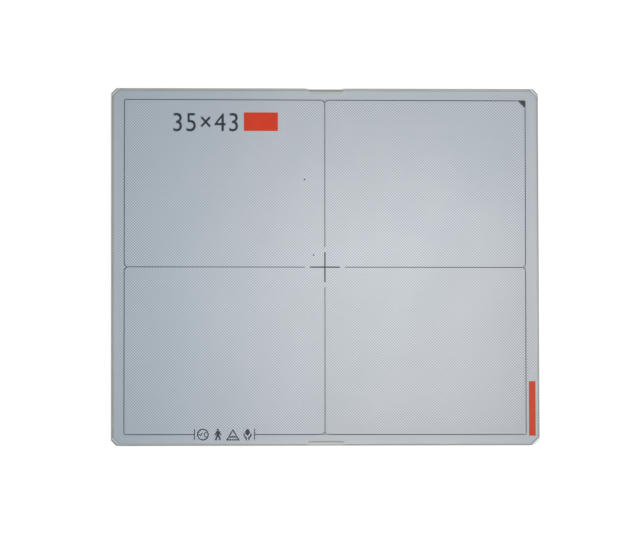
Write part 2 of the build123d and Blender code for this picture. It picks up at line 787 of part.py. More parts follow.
# Foam sheet that presses the scintillator onto the glass
with BuildPart() as foam_sheet:
    with BuildSketch(Plane.XY.offset(scintillator_top)) as foam_outline:
        Rectangle(2 * (plate_half_x - scintillator_margin), 2 * (plate_half_y - scintillator_margin))
        chamfer(foam_outline.vertices(), base_corner_cut)
    extrude(amount=plate_bottom - scintillator_top)
foam_sheet.part.label = "foam_sheet"
export_step(foam_sheet.part, "parts/foam_sheet.step")


def flex_profile(edge, end):
    """Side view of a film circuit that goes round the edge of the glass and back onto a board."""
    start = edge - flex_bond
    turn = edge + flex_turn
    return [
        (-start, glass_top + flex_thickness), (-turn - flex_thickness, glass_top + flex_thickness),
        (-turn - flex_thickness, board_top), (end, board_top), (end, board_top + flex_thickness),
        (-turn, board_top + flex_thickness), (-turn, glass_top), (-start, glass_top),
    ]


def outer_bends(vertices, edge):
    """The two corners on the outside of a film circuit's bend."""
    return [v for v in vertices if v.X < -edge - flex_turn - flex_thickness / 2]


def inner_bends(vertices, edge):
    """The two corners on the inside of a film circuit's bend."""
    return [v for v in vertices if abs(v.X + edge + flex_turn) < flex_thickness / 4]


# Film circuits to the readout boards
with BuildPart() as readout_flexes:
    for flex_x in readout_flex_x:
        with BuildSketch(Plane.YZ.offset(flex_x - flex_width / 2)) as flex_side:
            Polygon(*flex_profile(plate_half_y, readout_flex_end))
            fillet(outer_bends(flex_side.vertices(), plate_half_y), flex_bend + flex_thickness)
            fillet(inner_bends(flex_side.vertices(), plate_half_y), flex_bend)
        extrude(amount=flex_width)
readout_flexes.part.label = "readout_flexes"
export_step(readout_flexes.part, "parts/readout_flexes.step")

# Film circuits to the gate board
with BuildPart() as gate_flexes:
    for flex_y in gate_flex_y:
        with BuildSketch(Plane.XZ.offset(-flex_y - flex_width / 2)) as flex_side:
            Polygon(*flex_profile(plate_half_x, gate_flex_end))
            fillet(outer_bends(flex_side.vertices(), plate_half_x), flex_bend + flex_thickness)
            fillet(inner_bends(flex_side.vertices(), plate_half_x), flex_bend)
        extrude(amount=flex_width)
gate_flexes.part.label = "gate_flexes"
export_step(gate_flexes.part, "parts/gate_flexes.step")

# Chips on the film circuits
chip_z = board_top + flex_thickness + chip_height / 2
with BuildPart() as readout_chips:
    with Locations(*[(x, readout_flex_end - readout_chip_back, chip_z) for x in readout_flex_x]):
        Box(chip_length, chip_width, chip_height)
readout_chips.part.label = "readout_chips"
export_step(readout_chips.part, "parts/readout_chips.step")

with BuildPart() as gate_chips:
    with Locations(*[(gate_flex_end - gate_chip_back, y, chip_z) for y in gate_flex_y]):
        Box(chip_width, chip_length, chip_height)
gate_chips.part.label = "gate_chips"
export_step(gate_chips.part, "parts/gate_chips.step")

# Circuit boards under the base plate
boards = [
    ("readout_board_left", readout_left_edges, readout_left_screws),
    ("readout_board_right", readout_right_edges, readout_right_screws),
    ("gate_board", gate_edges, gate_screws),
    ("power_board", power_edges, power_screws),
    ("main_board", main_edges, main_screws),
    ("radio_board", radio_edges, radio_screws),
]
for board_name, edges, screws in boards:
    with BuildPart() as board:
        with BuildSketch(Plane.XY.offset(board_bottom)):
            with Locations(board_center(edges)):
                Rectangle(edges[1] - edges[0], edges[3] - edges[2])
            with Locations(*screws):
                Circle(board_hole_radius, mode=Mode.SUBTRACT)
        extrude(amount=board_thickness)
    board.part.label = board_name
    export_step(board.part, f"parts/{board_name}.step")

# Screws that hold the boards to the posts
with BuildPart() as board_screws:
    with BuildSketch(Plane.XY.offset(board_bottom - board_head_height)):
        with Locations(*board_screws_at):
            Circle(board_head_radius)
    extrude(amount=board_head_height)
    with BuildSketch(Plane.XY.offset(board_bottom)):
        with Locations(*board_screws_at):
            Circle(board_shank_radius)
    extrude(amount=board_shank_top - board_bottom)
board_screws.part.label = "board_screws"
export_step(board_screws.part, "parts/board_screws.step")

# Chip packages under the boards: board, place from its middle, size and height
chip_packages = [
    (readout_left_edges, -54.5, 7.0, 16.0, 16.0, 1.2), (readout_left_edges, -4.5, 7.0, 16.0, 16.0, 1.2),
    (readout_left_edges, 45.5, 7.0, 16.0, 16.0, 1.2), (readout_right_edges, -45.5, 7.0, 16.0, 16.0, 1.2),
    (readout_right_edges, 4.5, 7.0, 16.0, 16.0, 1.2), (readout_right_edges, 54.5, 7.0, 16.0, 16.0, 1.2),
    (gate_edges, 1.0, -73.0, 9.0, 14.0, 1.0), (gate_edges, 1.0, 47.0, 9.0, 14.0, 1.0),
    (power_edges, 0.0, 55.0, 24.0, 16.0, 2.4), (power_edges, -15.0, 5.0, 14.0, 14.0, 2.4),
    (power_edges, -15.0, -20.0, 14.0, 14.0, 2.4), (power_edges, -5.0, -60.0, 20.0, 12.0, 1.4),
    (main_edges, 27.0, 80.0, 14.0, 20.0, 1.2), (main_edges, -3.0, 80.0, 14.0, 20.0, 1.2),
    (main_edges, 27.0, -50.0, 12.0, 12.0, 1.2), (main_edges, 22.0, -80.0, 18.0, 10.0, 1.4),
]
with BuildPart() as board_chips:
    for edges, x, y, size_x, size_y, height in chip_packages:
        middle_x, middle_y = board_center(edges)
        with Locations((middle_x + x, middle_y + y, board_bottom - height / 2)):
            Box(size_x, size_y, height)
board_chips.part.label = "board_chips"
export_step(board_chips.part, "parts/board_chips.step")

# Pressed steel cans over the image processor and the radio
can_height = 2.2
can_wall = 0.3
main_x, main_y = board_center(main_edges)
radio_x, radio_y = board_center(radio_edges)
processor_shift_x = 7.0
processor_shift_y = 20.0
processor_x = main_x + processor_shift_x
processor_y = main_y + processor_shift_y
cans = [(processor_x, processor_y, 46.0, 46.0), (radio_x, radio_y, 30.0, 24.0)]
with BuildPart() as shield_cans:
    for x, y, size_x, size_y in cans:
        with Locations((x, y, board_bottom - can_height / 2)):
            Box(size_x, size_y, can_height)
        with Locations((x, y, board_bottom - (can_height - can_wall) / 2)):
            inner_x = size_x - 2 * can_wall
            inner_y = size_y - 2 * can_wall
            Box(inner_x, inner_y, can_height - can_wall, mode=Mode.SUBTRACT)
shield_cans.part.label = "shield_cans"
export_step(shield_cans.part, "parts/shield_cans.step")

# Processor under its can
processor_size = 23.0
processor_height = 1.5
with BuildPart() as processor:
    with Locations((processor_x, processor_y, board_bottom - processor_height / 2)):
        Box(processor_size, processor_size, processor_height)
processor.part.label = "processor"
export_step(processor.part, "parts/processor.step")

# Soft pad that takes the processor's heat from its can to the rear cover
thermal_pad_size = 40.0
with BuildPart() as thermal_pad:
    pad_height = board_bottom - can_height - floor_thickness
    with Locations((processor_x, processor_y, floor_thickness + pad_height / 2)):
        Box(thermal_pad_size, thermal_pad_size, pad_height)
thermal_pad.part.label = "thermal_pad"
export_step(thermal_pad.part, "parts/thermal_pad.step")

# Flat links between the boards, lying on their upper sides
link_z = board_top + flex_thickness / 2
link_overlap = 6.0
link_width = 24.0
link_y = 18.0
board_link_width = 30.0
gate_link_width = 20.0
radio_link_width = 16.0
main_link_shift = 8.0
power_link_shift = 30.0
gate_link_y = 40.0
bay_link_reach = 15.0
bay_link_foot = 1.0
bay_link_top = 3.0


def link_strip(x, y, size_x, size_y):
    """Place and size of one flat link between two boards."""
    return ((x, y, link_z), size_x, size_y)


readout_link_y = (main_edges[2] + readout_high) / 2
readout_link_length = main_edges[2] - readout_high + 2 * link_overlap
power_link_y = (power_edges[2] + readout_high) / 2
power_link_length = power_edges[2] - readout_high + 2 * link_overlap
gate_link_x = (gate_edges[1] + power_edges[0]) / 2
gate_link_length = power_edges[0] - gate_edges[1] + 2 * link_overlap
radio_link_y = (main_edges[3] + radio_edges[2]) / 2
radio_link_length = radio_edges[2] - main_edges[3] + 2 * link_overlap
link_strips = [
    link_strip(main_x - main_link_shift, readout_link_y, board_link_width, readout_link_length),
    link_strip(power_edges[0] + power_link_shift, power_link_y, board_link_width, power_link_length),
    link_strip(gate_link_x, gate_link_y, gate_link_length, gate_link_width),
    link_strip(radio_x, radio_link_y, radio_link_width, radio_link_length),
]
with BuildPart() as link_flexes:
    for place, size_x, size_y in link_strips:
        with Locations(place):
            Box(size_x, size_y, flex_thickness)
    # Long link over the battery bay
    with BuildSketch(Plane.XZ.offset(-link_y - link_width / 2)):
        over = bay_roof_top + 0.05
        low = board_top
        thick = flex_thickness
        end_x = board_start + bay_link_reach
        foot_x = board_start + bay_link_foot
        top_x = board_start - bay_link_top
        link_points = [
            (-end_x, low), (-foot_x, low), (-top_x, over), (top_x, over), (foot_x, low), (end_x, low),
            (end_x, low + thick), (foot_x, low + thick), (top_x, over + thick), (-top_x, over + thick),
            (-foot_x, low + thick), (-end_x, low + thick),
        ]
        Polygon(*link_points)
    extrude(amount=link_width)
link_flexes.part.label = "link_flexes"
export_step(link_flexes.part, "parts/link_flexes.step")

# Battery case, an open tray with a finger pull in each long side
battery_case_top = battery_top - lid_thickness
case_height = battery_case_top - battery_bottom
with BuildPart() as battery_case:
    with Locations((0, 0, battery_bottom + case_height / 2)):
        Box(2 * battery_half_x, 2 * battery_half_y, case_height)
    inner_x = battery_half_x - battery_wall
    inner_y = battery_half_y - battery_wall
    inner_height = case_height - battery_floor
    with Locations((0, 0, battery_bottom + battery_floor + inner_height / 2)):
        Box(2 * inner_x, 2 * inner_y, inner_height, mode=Mode.SUBTRACT)
    # Finger pulls and the skin behind them
    for side in (-1, 1):
        pull_outer = pull_width + pull_skin
        pull_middle = side * (battery_half_y - pull_outer / 2)
        pull_height = pull_depth + pull_skin
        with Locations((0, pull_middle, battery_bottom + pull_height / 2)):
            Box(pull_length + 2 * pull_skin, pull_outer, pull_height)
        with Locations((0, side * (battery_half_y - pull_width / 2), battery_bottom + pull_depth / 2)):
            Box(pull_length, pull_width, pull_depth, mode=Mode.SUBTRACT)
    # Sloped slots that the latch noses hold
    for side in (-1, 1):
        slope_low = latch_tip_x - (latch_tip_z - battery_bottom) * latch_slope
        slope_high = latch_tip_x + (latch_top - latch_tip_z) * latch_slope
        with BuildSketch(Plane.XZ.offset(-latch_slot_half)):
            far_x = battery_half_x + 1
            slot_points = [
                (side * slope_low, battery_bottom), (side * far_x, battery_bottom),
                (side * far_x, latch_top), (side * slope_high, latch_top),
            ]
            Polygon(*slot_points)
        extrude(amount=2 * latch_slot_half, mode=Mode.SUBTRACT)
battery_case.part.label = "battery_case"
export_step(battery_case.part, "parts/battery_case.step")

# Battery lid
with BuildPart() as battery_lid:
    with Locations((0, 0, battery_case_top + lid_thickness / 2)):
        Box(2 * battery_half_x, 2 * battery_half_y, lid_thickness)
    with Locations(*[(x, pad_y, battery_case_top + lid_thickness / 2) for x in pad_x]):
        Box(pad_size, pad_length, lid_thickness, mode=Mode.SUBTRACT)
battery_lid.part.label = "battery_lid"
export_step(battery_lid.part, "parts/battery_lid.step")

# Three flat cells in the case
cell_bottom = battery_bottom + battery_floor
with BuildPart() as battery_cells:
    for cell in (-1, 0, 1):
        with BuildSketch(Plane.XY.offset(cell_bottom)):
            with Locations((cell * cell_pitch, 0)):
                RectangleRounded(cell_length, cell_width, cell_radius)
        extrude(amount=cell_height)
battery_cells.part.label = "battery_cells"
export_step(battery_cells.part, "parts/battery_cells.step")

# Battery's own board, under the lid beside the cells
battery_board_width = 6.0
battery_board_height = 0.8
battery_board_length = 160.0
with BuildPart() as battery_board:
    with Locations((0, pad_y, battery_case_top - battery_board_height / 2)):
        Box(battery_board_length, battery_board_width, battery_board_height)
battery_board.part.label = "battery_board"
export_step(battery_board.part, "parts/battery_board.step")

# Gilt pads that stand on the battery's board and end flush with the lid
with BuildPart() as battery_pads:
    with Locations(*[(x, pad_y, battery_case_top + lid_thickness / 2) for x in pad_x]):
        Box(pad_size, pad_length, lid_thickness)
battery_pads.part.label = "battery_pads"
export_step(battery_pads.part, "parts/battery_pads.step")

# Contact block in the roof of the bay
with BuildPart() as bay_contact_block:
    with Locations((0, pad_y, (bay_roof_bottom + bay_roof_top) / 2)):
        Box(2 * block_half_x, 2 * block_half_y, bay_roof_top - bay_roof_bottom)
    with Locations(*[(x, pad_y, (bay_roof_bottom + bay_roof_top) / 2) for x in pad_x]):
        Box(pin_size, pin_length, bay_roof_top - bay_roof_bottom, mode=Mode.SUBTRACT)
bay_contact_block.part.label = "bay_contact_block"
export_step(bay_contact_block.part, "parts/bay_contact_block.step")

# Spring pins that press on the pads
with BuildPart() as bay_contact_pins:
    with Locations(*[(x, pad_y, (battery_top + bay_roof_top) / 2) for x in pad_x]):
        Box(pin_size, pin_length, bay_roof_top - battery_top)
bay_contact_pins.part.label = "bay_contact_pins"
export_step(bay_contact_pins.part, "parts/bay_contact_pins.step")

# Sliding latches, each with a sloped nose under the battery's end
latch_low_x = latch_tip_x + latch_gap
latch_high_x = latch_low_x + (latch_top - latch_tip_z) * latch_slope
for latch_name, side in (("latch_left", -1), ("latch_right", 1)):
    with BuildPart() as latch:
        pad_length_x = latch_back_x - latch_front_x
        pad_middle_x = side * (latch_back_x + latch_front_x) / 2
        pad_height = latch_wing_bottom - latch_pad_bottom
        wing_height = latch_top - latch_wing_bottom
        with Locations((pad_middle_x, 0, latch_pad_bottom + pad_height / 2)):
            Box(pad_length_x, 2 * latch_pad_half, pad_height)
        with Locations((pad_middle_x, 0, latch_wing_bottom + wing_height / 2)):
            Box(pad_length_x, 2 * latch_wing_half, wing_height)
        with BuildSketch(Plane.XZ.offset(-latch_nose_half)):
            nose_points = [
                (side * latch_low_x, latch_tip_z), (side * latch_nose_back, latch_tip_z),
                (side * latch_nose_back, latch_top), (side * latch_high_x, latch_top),
            ]
            Polygon(*nose_points)
        extrude(amount=2 * latch_nose_half)
        # Finger ribs
        rib_start = latch_back_x - 4.0
        rib_x = [side * (rib_start - rib * rib_pitch) for rib in range(rib_count)]
        with Locations(*[(x, 0, latch_pad_bottom - rib_height / 2) for x in rib_x]):
            Box(rib_width, 2 * rib_half, rib_height)
    latch.part.label = latch_name
    export_step(latch.part, f"parts/{latch_name}.step")

# Power button, held behind the wall by its flange
with BuildPart() as power_button:
    with BuildSketch(Plane.YZ.offset(button_back_x)):
        with Locations((button_y, control_z)):
            SlotOverall(button_length + 2 * button_flange_margin, button_height + 2 * button_flange_lip)
    extrude(amount=button_flange)
    with BuildSketch(Plane.YZ.offset(wall_inner_x)):
        with Locations((button_y, control_z)):
            SlotOverall(button_length, button_height)
    extrude(amount=button_face_x - wall_inner_x)
    chamfer(power_button.faces().sort_by(Axis.X)[-1].edges(), 0.4)
power_button.part.label = "power_button"
export_step(power_button.part, "parts/power_button.step")

# Plunger of the switch, which moves with the button
with BuildPart() as switch_plunger:
    with BuildSketch(Plane.YZ.offset(plunger_end_x)):
        with Locations((button_y, control_z)):
            Circle(plunger_radius)
    extrude(amount=button_back_x - plunger_end_x)
switch_plunger.part.label = "switch_plunger"
export_step(switch_plunger.part, "parts/switch_plunger.step")

# Switch housing on the control board
with BuildPart() as tact_switch:
    with Locations(((control_board_front + switch_face_x) / 2, button_y, control_z)):
        Box(switch_face_x - control_board_front, switch_size, switch_size * 0.8)
    with BuildSketch(Plane.YZ.offset(switch_bore_x)):
        with Locations((button_y, control_z)):
            Circle(plunger_radius + plunger_clearance)
    extrude(amount=switch_face_x - switch_bore_x + 0.5, mode=Mode.SUBTRACT)
tact_switch.part.label = "tact_switch"
export_step(tact_switch.part, "parts/tact_switch.step")

# Clear window that carries the light of the status lamps through the wall
with BuildPart() as status_window:
    with BuildSketch(Plane.YZ.offset(wall_inner_x - window_flange)):
        with Locations((window_y, control_z)):
            SlotOverall(window_length + 2, window_height + 2)
    extrude(amount=window_flange)
    with BuildSketch(Plane.YZ.offset(wall_inner_x)):
        with Locations((window_y, control_z)):
            SlotOverall(window_length, window_height)
    extrude(amount=wall - 0.2)
status_window.part.label = "status_window"
export_step(status_window.part, "parts/status_window.step")

# Status lamps on the control board
lamp_pitch = 5.0
lamp_y = (window_y - lamp_pitch, window_y, window_y + lamp_pitch)
with BuildPart() as status_lamps:
    with Locations(*[(control_board_front + lamp_height / 2, y, control_z) for y in lamp_y]):
        Box(lamp_height, lamp_size, lamp_size)
status_lamps.part.label = "status_lamps"
export_step(status_lamps.part, "parts/status_lamps.step")

# Control board on edge behind the right-hand wall
control_height = control_board_top - control_board_bottom
control_length = control_board_high - control_board_low
with BuildPart() as control_board:
    control_x = control_board_front - control_board_thickness / 2
    control_y = (control_board_low + control_board_high) / 2
    with Locations((control_x, control_y, control_board_bottom + control_height / 2)):
        Box(control_board_thickness, control_length, control_height)
control_board.part.label = "control_board"
export_step(control_board.part, "parts/control_board.step")

# Flat link from the main board to the tether socket and to the control board
side_link_overlap = 8.0
tether_link_width = 16.0
control_link_gap = 14.0
control_link_start = 20.0
link_turn_gap = 3.0
with BuildPart() as side_links:
    link_start = main_edges[1] - side_link_overlap
    link_length = socket_back_x - link_start
    with Locations((link_start + link_length / 2, socket_y, link_z)):
        Box(link_length, tether_link_width, flex_thickness)
    control_link_end = control_board_front - control_board_thickness
    control_link_y = control_board_low + control_link_gap
    link_turn = plate_half_x - link_turn_gap
    link_width_small = 8.0
    start_x = main_edges[1] - link_overlap
    start_y = main_edges[2] + control_link_start
    with BuildSketch(Plane.XY.offset(board_top)):
        control_link = [
            (start_x, start_y), (link_turn, start_y), (link_turn, control_link_y + link_width_small),
            (control_link_end, control_link_y + link_width_small), (control_link_end, control_link_y),
            (link_turn - link_width_small, control_link_y),
            (link_turn - link_width_small, start_y - link_width_small), (start_x, start_y - link_width_small),
        ]
        Polygon(*control_link)
    extrude(amount=flex_thickness)
side_links.part.label = "side_links"
export_step(side_links.part, "parts/side_links.step")

# Shell of the tether socket, a shallow well open to the side
socket_inner_length = socket_length - 2 * socket_shell
socket_inner_height = socket_height - 2 * socket_shell
with BuildPart() as tether_shell:
    with Locations(((socket_face_x + socket_back_x) / 2, socket_y, socket_z)):
        Box(socket_face_x - socket_back_x, socket_length, socket_height)
    lip_x = wall_inner_x - 1.0
    with Locations((lip_x, socket_y, socket_z)):
        Box(2.0, socket_length + 2 * socket_lip, socket_height)
    with Locations(((socket_face_x + socket_floor_x) / 2 + 0.5, socket_y, socket_z)):
        well_depth = socket_face_x - socket_floor_x + 1.0
        Box(well_depth, socket_inner_length, socket_inner_height, mode=Mode.SUBTRACT)
    contact_span = (contact_count - 1) * contact_pitch / 2
    contact_y = [socket_y - contact_span + k * contact_pitch for k in range(contact_count)]
    with Locations(*[(socket_floor_x - 0.75, y, socket_z) for y in contact_y]):
        Box(1.5, contact_width, contact_height, mode=Mode.SUBTRACT)
tether_shell.part.label = "tether_shell"
export_step(tether_shell.part, "parts/tether_shell.step")

# Gilt contacts in the floor of the socket
with BuildPart() as tether_contacts:
    contact_length = contact_reach + 1.5
    with Locations(*[(socket_floor_x + contact_reach - contact_length / 2, y, socket_z) for y in contact_y]):
        Box(contact_length, contact_width, contact_height)
tether_contacts.part.label = "tether_contacts"
export_step(tether_contacts.part, "parts/tether_contacts.step")

# Plastic windows that let the radio signal out through the metal walls
with BuildPart() as radio_window_side:
    with BuildSketch(Plane.YZ.offset(wall_inner_x - radio_flange)):
        with Locations((side_window_y, radio_window_z)):
            flange_length = side_window_length + 2 * radio_flange_margin
            flange_height = radio_window_height + 2 * radio_flange_margin
            Rectangle(flange_length, flange_height)
    extrude(amount=radio_flange)
    with BuildSketch(Plane.YZ.offset(wall_inner_x)):
        with Locations((side_window_y, radio_window_z)):
            Rectangle(side_window_length, radio_window_height)
    extrude(amount=wall - radio_window_flush)
radio_window_side.part.label = "radio_window_side"
export_step(radio_window_side.part, "parts/radio_window_side.step")

flange_y = half_width - wall
with BuildPart() as radio_window_top:
    with BuildSketch(Plane.XZ.offset(-flange_y)):
        with Locations((top_window_x, radio_window_z)):
            flange_length = top_window_length + 2 * radio_flange_margin
            Rectangle(flange_length, flange_height)
    extrude(amount=radio_flange)
    with BuildSketch(Plane.XZ.offset(-half_width + radio_window_flush)):
        with Locations((top_window_x, radio_window_z)):
            Rectangle(top_window_length, radio_window_height)
    extrude(amount=wall - radio_window_flush)
radio_window_top.part.label = "radio_window_top"
export_step(radio_window_top.part, "parts/radio_window_top.step")

# Antennas bonded behind the two windows
with BuildPart() as antennas:
    antenna_x = wall_inner_x - radio_flange - antenna_thickness / 2
    antenna_y = flange_y - radio_flange - antenna_thickness / 2
    with Locations((antenna_x, side_window_y, radio_window_z)):
        Box(antenna_thickness, side_window_length - 4, radio_window_height)
    with Locations((top_window_x, antenna_y, radio_window_z)):
        Box(top_window_length - 4, antenna_thickness, radio_window_height)
antennas.part.label = "antennas"
export_step(antennas.part, "parts/antennas.step")
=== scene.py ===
import math

import bmesh
import bpy
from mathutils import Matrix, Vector


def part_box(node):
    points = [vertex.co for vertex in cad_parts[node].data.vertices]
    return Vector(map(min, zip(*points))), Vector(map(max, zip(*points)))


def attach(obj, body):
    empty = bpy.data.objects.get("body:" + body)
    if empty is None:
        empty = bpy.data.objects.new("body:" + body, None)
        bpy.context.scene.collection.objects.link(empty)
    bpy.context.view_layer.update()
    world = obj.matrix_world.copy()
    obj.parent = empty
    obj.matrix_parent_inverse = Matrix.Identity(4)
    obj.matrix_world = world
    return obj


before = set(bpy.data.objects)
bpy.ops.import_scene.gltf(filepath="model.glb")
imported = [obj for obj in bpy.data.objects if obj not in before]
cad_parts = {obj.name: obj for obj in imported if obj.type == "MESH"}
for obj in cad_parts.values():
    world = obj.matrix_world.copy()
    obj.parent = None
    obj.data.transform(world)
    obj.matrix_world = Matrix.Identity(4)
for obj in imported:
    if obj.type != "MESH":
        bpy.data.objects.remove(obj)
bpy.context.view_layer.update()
print("stage 1: packed frame loaded,", len(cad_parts), "nodes")

# Lengths below are in millimetres unless a note says otherwise
millimetre = 0.001


def mm(*values):
    scaled = tuple(value * millimetre for value in values)
    return scaled if len(scaled) > 1 else scaled[0]


# A screen colour, 0 to 255, as the linear colour that the shader wants
def tint(red, green, blue):
    linear = []
    for channel in (red, green, blue):
        share = channel / 255
        linear.append(share / 12.92 if share <= 0.04045 else ((share + 0.055) / 1.055) ** 2.4)
    return (*linear, 1.0)


# Camera above the panel, a little to its left and near side, looking almost straight down
cameraSetup = {
    "place": (-0.2040, -0.1981, 4.0),   # metres
    "turn": (0.04960, -0.04952, -0.00217),   # radians
    "lens": 209.29,
    "sensor": 36.0,
}


def placeCamera(setup):
    lens = bpy.data.cameras.new("panelCamera")
    lens.lens = setup["lens"]
    lens.sensor_width = setup["sensor"]
    camera = bpy.data.objects.new("panelCamera", lens)
    camera.location = setup["place"]
    camera.rotation_euler = setup["turn"]
    bpy.context.scene.collection.objects.link(camera)
    bpy.context.scene.camera = camera


placeCamera(cameraSetup)
print("stage 2: camera placed")


# Shader plumbing, small helpers that every material below uses
def addNode(tree, kind, **settings):
    node = tree.nodes.new("ShaderNode" + kind)
    for setting, value in settings.items():
        setattr(node, setting, value)
    return node


def wire(tree, outlet, inlet):
    tree.links.new(outlet, inlet)


def feed(tree, inlet, value):
    if isinstance(value, bpy.types.NodeSocket):
        tree.links.new(value, inlet)
    else:
        inlet.default_value = value


def calculate(tree, operation, first, second=None):
    node = addNode(tree, "Math", operation=operation)
    feed(tree, node.inputs[0], first)
    if second is not None:
        feed(tree, node.inputs[1], second)
    return node.outputs[0]


def remap(tree, value, fromLow, fromHigh, toLow, toHigh, smooth=False):
    node = addNode(tree, "MapRange", interpolation_type="SMOOTHSTEP" if smooth else "LINEAR")
    for inlet, number in zip(node.inputs[:5], (value, fromLow, fromHigh, toLow, toHigh)):
        feed(tree, inlet, number)
    return node.outputs[0]


# Inlets 6 and 7 and outlet 2 are the ones that a Mix node has for colours
def mixColours(tree, factor, first, second):
    node = addNode(tree, "Mix", data_type="RGBA")
    feed(tree, node.inputs[0], factor)
    feed(tree, node.inputs[6], first)
    feed(tree, node.inputs[7], second)
    return node.outputs[2]


def noise(tree, place, scale, detail, roughness):
    node = addNode(tree, "TexNoise")
    feed(tree, node.inputs["Vector"], place)
    feed(tree, node.inputs["Scale"], scale)
    feed(tree, node.inputs["Detail"], detail)
    feed(tree, node.inputs["Roughness"], roughness)
    return node.outputs[0]


# Noise cut to patches: none of it below the low value, the most of it above the high one
def cutNoise(tree, place, scale, cut):
    value = noise(tree, place, scale, cut["detail"], cut["roughness"])
    return remap(tree, value, cut["low"], cut["high"], 0.0, cut["most"])


# The x, y and z of a place or a direction
def splitAxes(tree, vector):
    parts = addNode(tree, "SeparateXYZ")
    wire(tree, vector, parts.inputs[0])
    return parts.outputs


# A place drawn out along x and packed close across it, for noise that makes lines
def stretchPlace(tree, place, along, across):
    axes = splitAxes(tree, place)
    joined = addNode(tree, "CombineXYZ")
    for axis, share in enumerate((along, across, across)):
        wire(tree, calculate(tree, "MULTIPLY", axes[axis], share), joined.inputs[axis])
    return joined.outputs[0]


def objectPlace(tree):
    return addNode(tree, "TexCoord").outputs["Object"]


# Shader groups, effects that more than one material uses
def startGroup(name, inlets, outlets):
    group = bpy.data.node_groups.new(name, "ShaderNodeTree")
    for inletName, value in inlets:
        socketType = "NodeSocketVector" if value is None else "NodeSocketFloat"
        socket = group.interface.new_socket(inletName, in_out="INPUT", socket_type=socketType)
        if value is not None:
            socket.default_value = value
    for outletName in outlets:
        group.interface.new_socket(outletName, in_out="OUTPUT", socket_type="NodeSocketFloat")
    start = group.nodes.new("NodeGroupInput")
    end = group.nodes.new("NodeGroupOutput")
    return group, start.outputs, end.inputs


grainNoise = {"detail": 4.0, "roughness": 0.6}
cloudNoise = {"detail": 5.0, "roughness": 0.62, "low": 0.3, "high": 0.7, "most": 1.0}


# Fine grain, and soft clouds of tone
def buildGrain():
    inlets = [("Place", None), ("Grain Scale", 1500.0), ("Cloud Scale", 14.0)]
    group, given, result = startGroup("surfaceGrain", inlets, ["Grain", "Cloud"])
    place = given["Place"]
    grain = noise(group, place, given["Grain Scale"], grainNoise["detail"], grainNoise["roughness"])
    wire(group, grain, result["Grain"])
    wire(group, cutNoise(group, place, given["Cloud Scale"], cloudNoise), result["Cloud"])
    return group


edgeWear = {
    "samples": 4,
    "start": 0.995,   # cosine between the bevelled and the flat normal
    "full": 0.86,
    "patches": {"detail": 6.0, "roughness": 0.7, "low": 0.42, "high": 0.62, "most": 1.0},
}


# Worn edges: the bevelled normal leaves the flat one only near an edge
def buildEdgeWear():
    inlets = [("Place", None), ("Width", mm(0.6)), ("Patch Scale", 90.0), ("Amount", 0.5)]
    group, given, result = startGroup("edgeWear", inlets, ["Wear"])
    rounded = addNode(group, "Bevel", samples=edgeWear["samples"])
    wire(group, given["Width"], rounded.inputs["Radius"])
    flat = addNode(group, "NewGeometry")
    alike = addNode(group, "VectorMath", operation="DOT_PRODUCT")
    wire(group, rounded.outputs[0], alike.inputs[0])
    wire(group, flat.outputs["Normal"], alike.inputs[1])
    edge = remap(group, alike.outputs["Value"], edgeWear["start"], edgeWear["full"], 0.0, 1.0)
    patches = cutNoise(group, given["Place"], given["Patch Scale"], edgeWear["patches"])
    wear = calculate(group, "MULTIPLY", edge, patches)
    wire(group, calculate(group, "MULTIPLY", wear, given["Amount"]), result["Wear"])
    return group


settledDust = {
    "upward": (0.2, 0.95),   # how far up a face looks, from where dust starts to where it lies in full
    "hazeScale": 9.0,
    "haze": {"detail": 5.0, "roughness": 0.65, "low": 0.42, "high": 0.72, "most": 0.6},
    "specks": {"detail": 1.0, "roughness": 0.4, "low": 0.74, "high": 0.8, "most": 1.0},
}


# Dust that settles on what faces up, in soft patches and single specks
def buildDust():
    inlets = [("Place", None), ("Speck Scale", 700.0), ("Amount", 0.1)]
    group, given, result = startGroup("settledDust", inlets, ["Dust"])
    facing = splitAxes(group, addNode(group, "NewGeometry").outputs["Normal"])
    upward = remap(group, facing[2], *settledDust["upward"], 0.0, 1.0)
    haze = cutNoise(group, given["Place"], settledDust["hazeScale"], settledDust["haze"])
    specks = cutNoise(group, given["Place"], given["Speck Scale"], settledDust["specks"])
    both = calculate(group, "MAXIMUM", haze, specks)
    settled = calculate(group, "MULTIPLY", both, upward)
    wire(group, calculate(group, "MULTIPLY", settled, given["Amount"]), result["Dust"])
    return group


# Rows of small raised dots, each row shifted by half a pitch against the next
def buildDotRows():
    inlets = [("Place", None), ("Pitch", mm(3.0)), ("Sharpness", 0.5)]
    group, given, result = startGroup("dotRows", inlets, ["Dots"])
    axes = splitAxes(group, given["Place"])
    turns = calculate(group, "DIVIDE", 2 * math.pi, given["Pitch"])
    waves = []
    for axis in (0, 1):
        waves.append(calculate(group, "COSINE", calculate(group, "MULTIPLY", axes[axis], turns)))
    product = calculate(group, "MULTIPLY", *waves)
    low = calculate(group, "SUBTRACT", given["Sharpness"], 1.0)
    high = calculate(group, "SUBTRACT", 1.0, given["Sharpness"])
    wire(group, remap(group, product, low, high, 0.0, 1.0, smooth=True), result["Dots"])
    return group


brushedNoise = {"detail": 3.0, "roughness": 0.6}


# Fine lines left by rolling, brushing or turning
def buildBrushed():
    inlets = [("Place", None), ("Along", 30.0), ("Across", 4000.0)]
    group, given, result = startGroup("brushedLines", inlets, ["Lines"])
    stretched = stretchPlace(group, given["Place"], given["Along"], given["Across"])
    lines = noise(group, stretched, 1.0, brushedNoise["detail"], brushedNoise["roughness"])
    wire(group, lines, result["Lines"])
    return group


